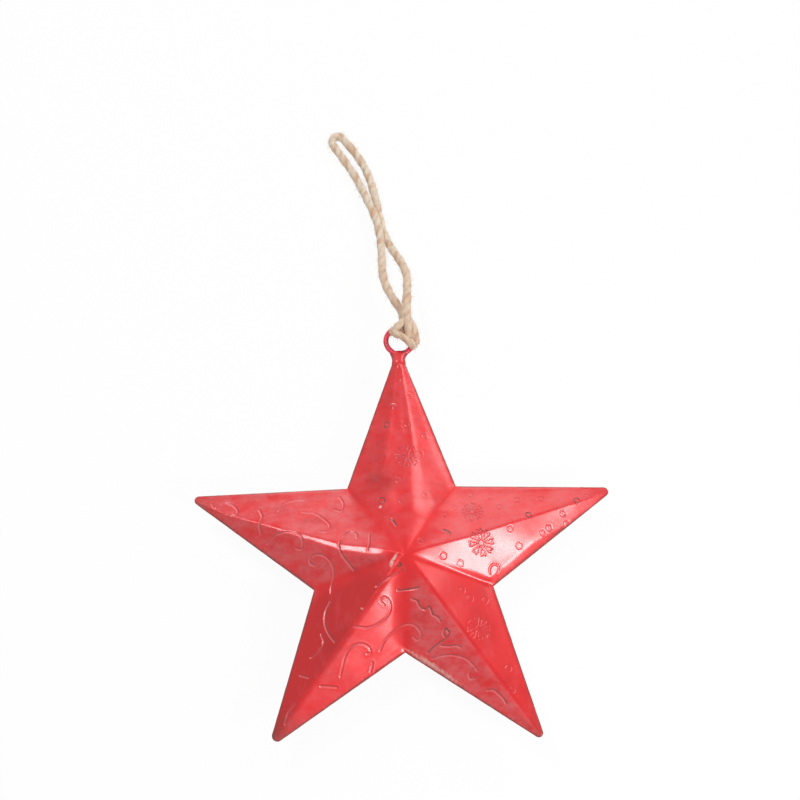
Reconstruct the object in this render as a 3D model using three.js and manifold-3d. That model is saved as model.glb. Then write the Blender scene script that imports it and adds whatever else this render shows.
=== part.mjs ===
// A hanging star ornament: two pressed tin shells soldered edge to edge, a wire eye and a loop of jute twine.
// Millimetres. The star lies on its back: +Z comes out of its front face, +Y runs to the hanging eye, and the
// origin is on the blunted peak of the back shell.
import * as THREE from 'three';
import { mergeVertices } from 'three/addons/utils/BufferGeometryUtils.js';
import Module from 'manifold-3d';

const wasm = await Module();
wasm.setup();

// The star's plan: an arm's two edges would meet at the tip radius, and two arms meet at the notch radius
const ARM_COUNT = 5;
const SHELL_TIP_RADIUS = 81.2;
const SHELL_NOTCH_RADIUS = 33.2;
// Round ends of the arms, counted round from the hanging arm: left, lower left, lower right, right
const TIP_ROUNDINGS = [1.5, 1.8, 1.4, 1.6];
// No inside corner is sharper than this
const LEAST_ROUNDING = 0.2;
// The hanging arm is cut off square where the tin left round the stem's bore is this thick
const MOUTH_WALL = 0.2;

// One shell, from its rim to its peak, and the tin that it is pressed from
const SHELL_DEPTH = 14.05;
const PEAK_BLUNTING = 0.6;
const TIN_THICKNESS = 0.4;

// The bead of solder between the two rims
const SEAM_THICKNESS = 0.9;
const SEAM_PROUD = 0.45;
const SEAM_REACH = 1.6;

// The wire eye: a ring that leans a little to the right, and a stem with a flattened foot inside the arm
const WIRE_DIAMETER = 1.9;
const EYE_RADIUS = 5.05;
const EYE_LEAN = 0.5;
const NECK_LENGTH = 2.95;
const STEM_INSIDE = 12.7;
const FOOT_WIDTH = 3.6;
const FOOT_LENGTH = 2.6;
const FOOT_THICKNESS = 1.3;
const CLEARANCE = 0.25;

// Solder round the stem, between the cut arm and the eye
const SOLDER_WAIST_HALF_WIDTH = 2.5;
const SOLDER_TOP_HALF_WIDTH = 2.75;
const SOLDER_WALL = 0.22;

// The twine, and the hitch that ties it round the eye's upper right
const TWINE_DIAMETER = 3.1;
const HITCH_START_DEG = -15;
const HITCH_END_DEG = 108;
const HITCH_TURNS = 4;
const HITCH_SQUEEZE = 0.726;
const HITCH_GROOVE = 0.35;

// The loop's route, across from the eye's centre and up from the surface: out of the hitch on the left, down,
// round the far turn and back on the right
const LOOP_ROUTE = [
  [1.6, 9.9, 12.7],
  [1.2, 12.2, 12.3],
  [0.0, 14.6, 12.1],
  [-2.6, 19.6, 11.1],
  [-4.9, 25.7, 9.0],
  [-5.9, 31.6, 6.9],
  [-6.0, 37.2, 5.4],
  [-6.2, 42.7, 4.7],
  [-6.6, 47.8, 4.6],
  [-7.5, 52.9, 4.7],
  [-9.1, 58.2, 4.4],
  [-11.3, 64.1, 3.1],
  [-13.6, 70.0, 1.8],
  [-16.1, 75.4, 1.6],
  [-19.2, 80.7, 1.6],
  [-22.5, 85.9, 1.6],
  [-24.2, 88.7, 1.6],
  [-24.9, 90.8, 1.6],
  [-24.2, 92.3, 1.6],
  [-22.7, 93.0, 1.6],
  [-21.0, 92.2, 1.6],
  [-19.5, 90.4, 1.6],
  [-15.9, 85.5, 1.6],
  [-12.9, 80.5, 1.6],
  [-10.7, 75.2, 1.6],
  [-9.2, 69.9, 1.6],
  [-8.0, 64.7, 1.6],
  [-7.1, 59.5, 1.6],
  [-6.1, 54.3, 1.6],
  [-4.7, 49.1, 1.7],
  [-2.8, 44.4, 2.7],
  [-0.5, 39.5, 4.7],
  [1.8, 34.2, 7.3],
  [3.2, 29.0, 9.8],
  [3.4, 23.8, 11.8],
  [3.2, 18.6, 13.7],
  [2.9, 13.4, 15.5],
  [2.6, 9.0, 16.2],
];

// Fineness of the round forms
const LOOP_STEPS = 80;
const LOOP_SIDES = 8;
const ROUND_SIDES = 16;
const EYE_STEPS = 40;
const ROUNDING_STEPS = 5;
const HITCH_STEPS_PER_TURN = 5;

// What follows from those sizes
const ARM_ANGLE = (2 * Math.PI) / ARM_COUNT;
const HANGING_ARM_ANGLE = Math.PI / 2;
const EDGE_RUN = SHELL_TIP_RADIUS - SHELL_NOTCH_RADIUS * Math.cos(ARM_ANGLE / 2);
const EDGE_RISE = SHELL_NOTCH_RADIUS * Math.sin(ARM_ANGLE / 2);
const TIP_HALF_ANGLE = Math.atan2(EDGE_RISE, EDGE_RUN);
const EDGE_DISTANCE = SHELL_TIP_RADIUS * Math.sin(TIP_HALF_ANGLE);
const FACET_APEX = SHELL_DEPTH + PEAK_BLUNTING;
const FACET_SLOPE = Math.atan2(FACET_APEX, EDGE_DISTANCE);
const RIM_WIDTH = TIN_THICKNESS / Math.sin(FACET_SLOPE);
const MIDDLE_Z = SHELL_DEPTH + SEAM_THICKNESS / 2;
const BORE_RADIUS = WIRE_DIAMETER / 2 + CLEARANCE;
const ROOF_ANGLE = Math.atan2(FACET_APEX, SHELL_TIP_RADIUS * Math.tan(TIP_HALF_ANGLE));
const MOUTH_RISE = (BORE_RADIUS + MOUTH_WALL) / Math.cos(ROOF_ANGLE) - SEAM_THICKNESS / 2;
const HANGING_ARM_END = SHELL_TIP_RADIUS * (1 - MOUTH_RISE / FACET_APEX);
const EYE_BOTTOM_Y = HANGING_ARM_END + NECK_LENGTH;
const EYE_CENTRE_Y = EYE_BOTTOM_Y + WIRE_DIAMETER / 2 + EYE_RADIUS;
const STEM_END = HANGING_ARM_END - STEM_INSIDE;

// How far a cutting form runs past what it cuts
const BEYOND = 1;

const redPaint = new THREE.MeshStandardMaterial({ color: 0xe8494d, roughness: 0.32, metalness: 0.25 });
const crimsonPaint = new THREE.MeshStandardMaterial({ color: 0xd6415c, roughness: 0.4, metalness: 0.25 });
const bareTin = new THREE.MeshStandardMaterial({ color: 0xd2cecd, roughness: 0.4, metalness: 0.9 });
const solder = new THREE.MeshStandardMaterial({ color: 0x6e5a57, roughness: 0.6, metalness: 0.7 });
const jute = new THREE.MeshStandardMaterial({ color: 0xcfb491, roughness: 0.95, metalness: 0 });

// A closed geometry as a solid for joining and cutting
function solidFrom(geometry) {
  const bare = geometry.clone();
  bare.deleteAttribute('normal');
  bare.deleteAttribute('uv');
  const merged = mergeVertices(bare);
  const mesh = new wasm.Mesh({
    numProp: 3,
    vertProperties: new Float32Array(merged.attributes.position.array),
    triVerts: new Uint32Array(merged.index.array),
  });
  return new wasm.Manifold(mesh);
}

function geometryFrom(solid) {
  const mesh = solid.getMesh();
  const geometry = new THREE.BufferGeometry();
  geometry.setAttribute('position', new THREE.BufferAttribute(mesh.vertProperties, 3));
  geometry.setIndex(new THREE.BufferAttribute(mesh.triVerts, 1));
  geometry.computeVertexNormals();
  return geometry;
}

function indexedGeometry(points, faces) {
  const geometry = new THREE.BufferGeometry();
  geometry.setAttribute('position', new THREE.Float32BufferAttribute(points.flat(), 3));
  geometry.setIndex(faces.flat());
  geometry.computeVertexNormals();
  return geometry;
}

// The same form on the other side of z = 0, with its faces still pointing out
function mirroredInZ(geometry) {
  const mirrored = geometry.clone();
  mirrored.scale(1, 1, -1);
  const index = mirrored.index.array;
  for (let i = 0; i < index.length; i += 3) {
    [index[i + 1], index[i + 2]] = [index[i + 2], index[i + 1]];
  }
  mirrored.computeVertexNormals();
  return mirrored;
}

function polar(radius, angle) {
  return [radius * Math.cos(angle), radius * Math.sin(angle)];
}

// The star's outline with every edge moved out by the offset; the hanging arm's sharp tip is cut off later
function starOutline(offset, PathClass = THREE.Shape) {
  const growth = 1 + offset / EDGE_DISTANCE;
  const outline = new PathClass();
  outline.moveTo(...polar(SHELL_TIP_RADIUS * growth, HANGING_ARM_ANGLE));
  for (let arm = 0; arm < ARM_COUNT; arm += 1) {
    const angle = HANGING_ARM_ANGLE + arm * ARM_ANGLE;
    if (arm > 0) {
      const rounding = Math.max(TIP_ROUNDINGS[(arm - 1) % TIP_ROUNDINGS.length] + offset, LEAST_ROUNDING);
      const centre = polar(SHELL_TIP_RADIUS * growth - rounding / Math.sin(TIP_HALF_ANGLE), angle);
      const halfTurn = Math.PI / 2 - TIP_HALF_ANGLE;
      outline.absarc(...centre, rounding, angle - halfTurn, angle + halfTurn, false);
    }
    outline.lineTo(...polar(SHELL_NOTCH_RADIUS * growth, angle + ARM_ANGLE / 2));
  }
  outline.closePath();
  return outline;
}

function starPlate(offset, bottom, top) {
  const plate = new THREE.ExtrudeGeometry(starOutline(offset), {
    depth: top - bottom,
    bevelEnabled: false,
    curveSegments: ROUNDING_STEPS,
  });
  plate.translate(0, 0, bottom);
  return solidFrom(plate);
}

// The faceted point of the star over z = 0, moved in by the inset, with its slopes run on below by the skirt
function starPoint(inset, skirt) {
  const share = 1 - inset / EDGE_DISTANCE;
  const apex = FACET_APEX * share;
  const spread = (share * (apex + skirt)) / apex;
  const points = [[0, 0, apex], [0, 0, -skirt]];
  for (let arm = 0; arm < ARM_COUNT; arm += 1) {
    const angle = HANGING_ARM_ANGLE + arm * ARM_ANGLE;
    points.push([...polar(SHELL_TIP_RADIUS * spread, angle), -skirt]);
    points.push([...polar(SHELL_NOTCH_RADIUS * spread, angle + ARM_ANGLE / 2), -skirt]);
  }
  const faces = [];
  const rimCount = 2 * ARM_COUNT;
  for (let i = 0; i < rimCount; i += 1) {
    const here = 2 + i;
    const next = 2 + ((i + 1) % rimCount);
    faces.push([0, here, next]);
    faces.push([1, next, here]);
  }
  return solidFrom(indexedGeometry(points, faces));
}

// Everything past the end of the hanging arm
function beyondHangingArm() {
  const size = 2 * SHELL_TIP_RADIUS;
  const block = new THREE.BoxGeometry(size, size, size);
  block.translate(0, HANGING_ARM_END + size / 2, 0);
  return solidFrom(block);
}

// A round bar along Y in the plane z
function barAlongY(radius, fromY, toY, z) {
  const bar = new THREE.CylinderGeometry(radius, radius, toY - fromY, ROUND_SIDES);
  bar.rotateY(Math.PI / ROUND_SIDES);
  bar.translate(0, (fromY + toY) / 2, z);
  return solidFrom(bar);
}

function stemBore(z) {
  return barAlongY(BORE_RADIUS / Math.cos(Math.PI / ROUND_SIDES), STEM_END, EYE_CENTRE_Y, z);
}

// One pressed shell with its rim on z = 0
function shellGeometry() {
  const outside = starPoint(0, 0).intersect(starPlate(0, 0, SHELL_DEPTH));
  const hollow = starPoint(RIM_WIDTH, BEYOND).intersect(
    starPlate(-RIM_WIDTH, -BEYOND, SHELL_DEPTH - TIN_THICKNESS),
  );
  const shell = outside.subtract(hollow).subtract(beyondHangingArm());
  return geometryFrom(shell.subtract(stemBore(-SEAM_THICKNESS / 2)));
}

// The solder bead, a thin frame that follows the outline and is open where the stem passes
function seamGeometry() {
  const frame = starPlate(SEAM_PROUD, 0, SEAM_THICKNESS).subtract(
    starPlate(-SEAM_REACH, -BEYOND, SEAM_THICKNESS + BEYOND),
  );
  return geometryFrom(frame.subtract(beyondHangingArm()).subtract(stemBore(SEAM_THICKNESS / 2)));
}

// Ring, stem and flattened foot, centred on z = 0
function eyeGeometry() {
  const ring = new THREE.TorusGeometry(EYE_RADIUS, WIRE_DIAMETER / 2, ROUND_SIDES, EYE_STEPS);
  ring.translate(EYE_LEAN, EYE_CENTRE_Y, 0);
  const stem = barAlongY(WIRE_DIAMETER / 2, STEM_END, EYE_BOTTOM_Y + WIRE_DIAMETER / 2, 0);
  const foot = new THREE.BoxGeometry(FOOT_WIDTH, FOOT_LENGTH, FOOT_THICKNESS);
  foot.translate(0, STEM_END - FOOT_LENGTH / 2 + WIRE_DIAMETER / 2, 0);
  return geometryFrom(solidFrom(ring).add(stem).add(solidFrom(foot)));
}

// A waisted collar of solder, as wide as the cut arm at its foot and hollowed for the stem
function eyeSolderGeometry() {
  const foot = (SHELL_TIP_RADIUS - HANGING_ARM_END) * Math.tan(TIP_HALF_ANGLE) + SEAM_PROUD;
  const top = EYE_BOTTOM_Y - CLEARANCE;
  const waist = (HANGING_ARM_END + top) / 2;
  const profile = [
    new THREE.Vector2(0, HANGING_ARM_END),
    new THREE.Vector2(foot, HANGING_ARM_END),
    new THREE.Vector2(SOLDER_WAIST_HALF_WIDTH, waist),
    new THREE.Vector2(SOLDER_TOP_HALF_WIDTH, top),
    new THREE.Vector2(0, top),
  ];
  const collar = new THREE.LatheGeometry(profile, ROUND_SIDES);
  collar.scale(1, 1, (BORE_RADIUS + SOLDER_WALL) / SOLDER_WAIST_HALF_WIDTH);
  return geometryFrom(solidFrom(collar).subtract(stemBore(0)));
}

// The hitch, centred on the eye: a sleeve round its wire, swollen where each turn of twine lies
function hitchGeometry() {
  const start = THREE.MathUtils.degToRad(HITCH_START_DEG);
  const end = THREE.MathUtils.degToRad(HITCH_END_DEG);
  const steps = HITCH_TURNS * HITCH_STEPS_PER_TURN;
  const points = [];
  for (let step = 0; step <= steps; step += 1) {
    const share = step / steps;
    const angle = start + share * (end - start);
    const swell = Math.abs(Math.sin(share * HITCH_TURNS * Math.PI));
    const wall = TWINE_DIAMETER * HITCH_SQUEEZE - HITCH_GROOVE * (1 - swell);
    for (const radius of [BORE_RADIUS, BORE_RADIUS + wall]) {
      for (let side = 0; side < ROUND_SIDES; side += 1) {
        const round = (2 * Math.PI * side) / ROUND_SIDES;
        points.push([...polar(EYE_RADIUS + radius * Math.cos(round), angle), radius * Math.sin(round)]);
      }
    }
  }
  const ringSize = 2 * ROUND_SIDES;
  const faces = [];
  const quad = (a, b, c, d) => faces.push([a, b, c], [a, c, d]);
  for (let side = 0; side < ROUND_SIDES; side += 1) {
    const next = (side + 1) % ROUND_SIDES;
    for (let step = 0; step < steps; step += 1) {
      const here = step * ringSize;
      const ahead = here + ringSize;
      quad(here + side, here + next, ahead + next, ahead + side);
      quad(
        here + ROUND_SIDES + next,
        here + ROUND_SIDES + side,
        ahead + ROUND_SIDES + side,
        ahead + ROUND_SIDES + next,
      );
    }
    const last = steps * ringSize;
    quad(side, ROUND_SIDES + side, ROUND_SIDES + next, next);
    quad(last + next, last + ROUND_SIDES + next, last + ROUND_SIDES + side, last + side);
  }
  return indexedGeometry(points, faces);
}

// The twine loop, one tube along its route
function loopGeometry() {
  const section = new THREE.Shape();
  for (let side = 0; side < LOOP_SIDES; side += 1) {
    const corner = polar(TWINE_DIAMETER / 2, (2 * Math.PI * side) / LOOP_SIDES);
    if (side === 0) section.moveTo(...corner);
    else section.lineTo(...corner);
  }
  section.closePath();
  const route = new THREE.CatmullRomCurve3(LOOP_ROUTE.map((place) => new THREE.Vector3(...place)));
  return new THREE.ExtrudeGeometry(section, { steps: LOOP_STEPS, extrudePath: route });
}

function piece(name, geometry, material, x, y, z) {
  const mesh = new THREE.Mesh(geometry, material);
  mesh.name = name;
  mesh.position.set(x, y, z);
  return mesh;
}

const star = new THREE.Group();
star.add(piece('front_shell', shellGeometry(), redPaint, 0, 0, MIDDLE_Z + SEAM_THICKNESS / 2));
star.add(piece('back_shell', mirroredInZ(shellGeometry()), bareTin, 0, 0, MIDDLE_Z - SEAM_THICKNESS / 2));
star.add(piece('seam_solder', seamGeometry(), solder, 0, 0, MIDDLE_Z - SEAM_THICKNESS / 2));
star.add(piece('hanging_eye', eyeGeometry(), crimsonPaint, 0, 0, MIDDLE_Z));
star.add(piece('eye_solder', eyeSolderGeometry(), redPaint, 0, 0, MIDDLE_Z));

const twine = new THREE.Group();
twine.add(piece('cord_hitch', hitchGeometry(), jute, EYE_LEAN, EYE_CENTRE_Y, MIDDLE_Z));
twine.add(piece('cord_loop', loopGeometry(), jute, EYE_LEAN, EYE_CENTRE_Y, 0));

const ornament = new THREE.Group();
ornament.add(star, twine);

export default ornament;
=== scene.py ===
"""Dresses a hanging star ornament: two embossed tin shells, solder, a wire eye and a loop of jute twine.

Sizes in the classes are millimetres, as a maker gives them. Meshes are in metres, in the part's own frame:
the star lies on the blunt peak of its back, +Z comes out of its painted front and +Y runs to the hanging eye.
"""

from __future__ import annotations

import logging
import math
from collections.abc import Callable, Iterable, Sequence
from dataclasses import dataclass, field
from enum import Enum

import bpy
import numpy as np
from mathutils import Matrix, Quaternion, Vector
from mathutils.geometry import delaunay_2d_cdt

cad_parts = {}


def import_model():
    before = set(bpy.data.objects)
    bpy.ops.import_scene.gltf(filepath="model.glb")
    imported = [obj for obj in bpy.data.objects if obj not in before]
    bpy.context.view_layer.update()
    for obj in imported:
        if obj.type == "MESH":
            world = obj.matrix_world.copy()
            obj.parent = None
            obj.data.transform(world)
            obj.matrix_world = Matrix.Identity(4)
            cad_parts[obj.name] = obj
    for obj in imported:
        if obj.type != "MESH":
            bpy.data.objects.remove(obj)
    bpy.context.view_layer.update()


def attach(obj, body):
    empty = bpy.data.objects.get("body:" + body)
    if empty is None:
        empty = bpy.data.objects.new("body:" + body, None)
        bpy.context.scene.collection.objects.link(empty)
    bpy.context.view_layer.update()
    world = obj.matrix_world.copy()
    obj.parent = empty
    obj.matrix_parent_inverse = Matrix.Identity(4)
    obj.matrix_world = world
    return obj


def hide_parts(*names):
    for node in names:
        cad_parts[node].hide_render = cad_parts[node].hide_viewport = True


LOG = logging.getLogger("star_ornament")
MM = 0.001
WHITE = (1.0, 1.0, 1.0, 1.0)
TINY = 1e-6

Point2 = tuple[float, float]
Levels = tuple[float, ...]
Point3 = tuple[float, float, float]
Colour = tuple[int, int, int]
Link = bpy.types.NodeSocket
Piece = bpy.types.Object
Material = bpy.types.Material
Faces = list[tuple[int, ...]]
Swell = Callable[[np.ndarray, float], np.ndarray]
Widen = Callable[[float], float]
Skein = tuple[np.ndarray, Faces, dict[str, np.ndarray]]


def linear(colour: Colour) -> tuple[float, float, float, float]:
    """Turns a screen colour into the linear values that shaders use.

    Args:
        colour: Red, green and blue from 0 to 255.

    Returns:
        Linear red, green, blue and an alpha of 1.
    """
    parts = [c / 255 for c in colour]
    r, g, b = (p / 12.92 if p <= 0.04045 else ((p + 0.055) / 1.055) ** 2.4 for p in parts)
    return r, g, b, 1.0


def smooth_step(value: np.ndarray) -> np.ndarray:
    """Eases values from 0 to 1 and clips them there."""
    v = np.clip(value, 0.0, 1.0)
    return v * v * (3 - 2 * v)


def rising(value: np.ndarray, start: float, over: float) -> np.ndarray:
    """Eases from 0 at the start to 1 after a stretch."""
    return smooth_step((value - start) / over)


def falling(value: np.ndarray, end: float, over: float) -> np.ndarray:
    """Eases from 1 to 0 at the end, over a stretch before it."""
    return smooth_step((end - value) / over)


def round_angles(count: int) -> np.ndarray:
    """Spreads angles evenly round a circle."""
    return np.linspace(0, 2 * math.pi, count, endpoint=False)


def distances_along(line: np.ndarray) -> np.ndarray:
    """Measures how far along a line each of its points lies."""
    return np.concatenate([[0], np.cumsum(np.linalg.norm(np.diff(line, axis=0), axis=1))])


def route_through(points: Sequence[Sequence[float]], step: float, substeps: int = 24) -> np.ndarray:
    """Lays a smooth curve through points, with each stretch eased by its own length.

    Args:
        points: The points that the curve passes, in millimetres.
        step: The distance between the points of the result.
        substeps: How many pieces each stretch is first cut into.

    Returns:
        Evenly spaced points along the curve.
    """
    p = np.array(points, float)
    p = np.vstack([2 * p[0] - p[1], p, 2 * p[-1] - p[-2]])
    fine = []
    for a, b, c, d in zip(p, p[1:], p[2:], p[3:]):
        t1 = math.sqrt(np.linalg.norm(b - a))
        t2 = t1 + math.sqrt(np.linalg.norm(c - b))
        t3 = t2 + math.sqrt(np.linalg.norm(d - c))
        t = np.linspace(t1, t2, substeps, endpoint=False)[:, None]
        ab = a * (t1 - t) / t1 + b * t / t1
        bc = b * (t2 - t) / (t2 - t1) + c * (t - t1) / (t2 - t1)
        cd = c * (t3 - t) / (t3 - t2) + d * (t - t2) / (t3 - t2)
        abc = ab * (t2 - t) / t2 + bc * t / t2
        bcd = bc * (t3 - t) / (t3 - t1) + cd * (t - t1) / (t3 - t1)
        fine.append(abc * (t2 - t) / (t2 - t1) + bcd * (t - t1) / (t2 - t1))
    line = np.vstack([*fine, p[-2]])
    along = distances_along(line)
    marks = np.linspace(0, along[-1], max(2, round(along[-1] / step) + 1))
    return np.stack([np.interp(marks, along, line[:, k]) for k in range(line.shape[1])], 1)


def length_of(line: np.ndarray) -> float:
    """Measures a line of points."""
    return float(np.linalg.norm(np.diff(line, axis=0), axis=1).sum())


def mesh_object(
    name: str,
    verts: np.ndarray,
    faces: Iterable[Sequence[int]],
    edges: Iterable[Sequence[int]] = (),
    values: dict[str, np.ndarray] | None = None,
) -> Piece:
    """Makes an object from millimetre points, at the origin and unturned.

    Args:
        name: The object's name.
        verts: Its points, in millimetres.
        faces: The points of each face, anticlockwise from outside.
        edges: Loose edges, for lines.
        values: A number or a vector at each point, by attribute name.

    Returns:
        The object, linked to the scene.
    """
    mesh = bpy.data.meshes.new(name)
    mesh.from_pydata((np.asarray(verts, float) * MM).tolist(), list(edges), list(faces))
    for key, data in (values or {}).items():
        kind = "FLOAT" if data.ndim == 1 else "FLOAT_VECTOR"
        layer = mesh.attributes.new(key, kind, "POINT")
        layer.data.foreach_set("value" if data.ndim == 1 else "vector", data.astype(np.float32).ravel())
    mesh.update()
    made = bpy.data.objects.new(name, mesh)
    bpy.context.scene.collection.objects.link(made)
    return made


def smoothed(piece: Piece, crease_degrees: float = 180.0) -> Piece:
    """Shades a piece smooth, but keeps edges sharper than the given angle."""
    piece.data.shade_smooth()
    if crease_degrees < 180:
        piece.data.set_sharp_from_angle(angle=math.radians(crease_degrees))
    return piece


def lofted(rings: Sequence[np.ndarray]) -> tuple[np.ndarray, Faces]:
    """Joins rings of points with equal counts into one skin, closed at both ends by a middle point.

    Args:
        rings: The rings in order, each anticlockwise as seen from the end of the row.

    Returns:
        The points and the faces.
    """
    n = len(rings[0])
    last = (len(rings) - 1) * n
    verts = np.vstack([*rings, rings[0].mean(0), rings[-1].mean(0)])
    faces: Faces = []
    for a in range(0, last, n):
        b = a + n
        faces += [(a + i, a + (i + 1) % n, b + (i + 1) % n, b + i) for i in range(n)]
    start, end = len(verts) - 2, len(verts) - 1
    faces += [(start, (i + 1) % n, i) for i in range(n)]
    faces += [(end, last + i, last + (i + 1) % n) for i in range(n)]
    return verts, faces


@dataclass(frozen=True)
class Grain:
    """A noise pattern: how fine, detailed and rough it is, and how its place is stretched."""

    scale: float
    detail: float = 2.0
    roughness: float = 0.5
    stretch: Point3 | None = None


class NodeBench:
    """Adds nodes to one tree and links them."""

    def __init__(self, tree: bpy.types.NodeTree) -> None:
        """Takes the tree that the nodes go into."""
        self.tree = tree

    def add(
        self, kind: str, inputs: dict[str | int, object] | None = None, **settings: object
    ) -> bpy.types.Node:
        """Adds one node.

        Args:
            kind: Blender's type name of the node.
            inputs: A link or a value for each input, by name or place.
            settings: The node's own settings.

        Returns:
            The new node.
        """
        node = self.tree.nodes.new(kind)
        for key, value in settings.items():
            setattr(node, key, value)
        for key, value in (inputs or {}).items():
            if isinstance(value, Link):
                self.tree.links.new(value, node.inputs[key])
            else:
                node.inputs[key].default_value = value
        return node

    def result(self, kind: str, inputs: dict[str | int, object] | None = None, **settings: object) -> Link:
        """Adds one node and returns its first output."""
        return self.add(kind, inputs, **settings).outputs[0]

    def calc(self, operation: str, *values: object, clamp: bool = False) -> Link:
        """Does one sum on numbers or links and returns the result."""
        return self.result("ShaderNodeMath", dict(enumerate(values)), operation=operation, use_clamp=clamp)

    def times(self, first: object, second: object, clamp: bool = False) -> Link:
        """Multiplies two numbers or links."""
        return self.calc("MULTIPLY", first, second, clamp=clamp)

    def ramp(self, value: object, start: float, slope: float) -> Link:
        """Gives the start plus the slope times the value."""
        return self.calc("ADD", start, self.times(value, slope))

    def span(
        self, value: object, low: object, high: object, to_low: float = 0.0, to_high: float = 1.0
    ) -> Link:
        """Eases a value from one range to another and clips it there."""
        inputs = {0: value, 1: low, 2: high, 3: to_low, 4: to_high}
        return self.result("ShaderNodeMapRange", inputs, interpolation_type="SMOOTHSTEP")

    def noise(self, grain: Grain, where: object, scale: object = None) -> Link:
        """Adds a noise pattern and returns its strength, about 0.5 on average.

        Args:
            grain: The pattern.
            where: The place that it is read at.
            scale: A link that stands for the pattern's own scale.

        Returns:
            The pattern's strength.
        """
        if grain.stretch is not None:
            where = self.result("ShaderNodeMapping", {"Vector": where, "Scale": grain.stretch})
        size = grain.scale if scale is None else scale
        inputs = {"Vector": where, "Scale": size, "Detail": grain.detail, "Roughness": grain.roughness}
        return self.result("ShaderNodeTexNoise", inputs)

    def blend(self, share: object, first: object, second: object) -> Link:
        """Mixes two colours by a share and returns the result."""
        return self.add("ShaderNodeMix", {0: share, 6: first, 7: second}, data_type="RGBA").outputs[2]

    def seen_directly(self) -> Link:
        """Gives 1 for what the camera sees itself, in a reflection or through glass, and 0 for other rays."""
        rays = self.add("ShaderNodeLightPath").outputs
        seen = self.calc("MAXIMUM", rays["Is Camera Ray"], rays["Is Glossy Ray"])
        return self.calc("MAXIMUM", seen, rays["Is Transmission Ray"])


class FinishBench(NodeBench):
    """A material under construction, with its Principled shader and the colours laid on so far.

    In the finishes below, levels hold where a pattern starts and ends to count and then the shares there,
    which are 0 and 1 unless they are given. A relief holds its depth in millimetres and its strength.
    """

    def __init__(self, name: str, colour: Colour) -> None:
        """Starts a material with the given name and first colour."""
        self.material = bpy.data.materials.new(name)
        self.material.use_nodes = True
        super().__init__(self.material.node_tree)
        self.shader = self.tree.nodes["Principled BSDF"]
        self.place = self.add("ShaderNodeTexCoord").outputs["Object"]
        self.colour: object = linear(colour)

    def attribute(self, name: str, vector: bool = False) -> Link:
        """Reads a number or a vector that the piece's points carry."""
        return self.add("ShaderNodeAttribute", attribute_name=name).outputs[1 if vector else 2]

    def grain(self, grain: Grain) -> Link:
        """Adds a noise pattern at the piece's own place."""
        return self.noise(grain, self.place)

    def lay(self, share: object, colour: Colour | Link) -> None:
        """Lays a colour over those so far, by a share."""
        self.colour = self.blend(share, self.colour, linear(colour) if isinstance(colour, tuple) else colour)

    def set(self, **values: object) -> None:
        """Sets the shader's inputs, with the spaces in their names written as underscores."""
        for key, value in values.items():
            socket = self.shader.inputs[key.replace("_", " ")]
            if isinstance(value, Link):
                self.tree.links.new(value, socket)
            else:
                socket.default_value = value

    def bump(self, height: object, distance: float, strength: float = 1.0) -> None:
        """Presses a fine relief into the surface.

        Args:
            height: The relief, from 0 to 1.
            distance: How deep the relief is, in millimetres.
            strength: Its share.
        """
        inputs = {"Height": height, "Distance": distance * MM, "Strength": strength}
        self.set(Normal=self.add("ShaderNodeBump", inputs).outputs[0])


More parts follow.
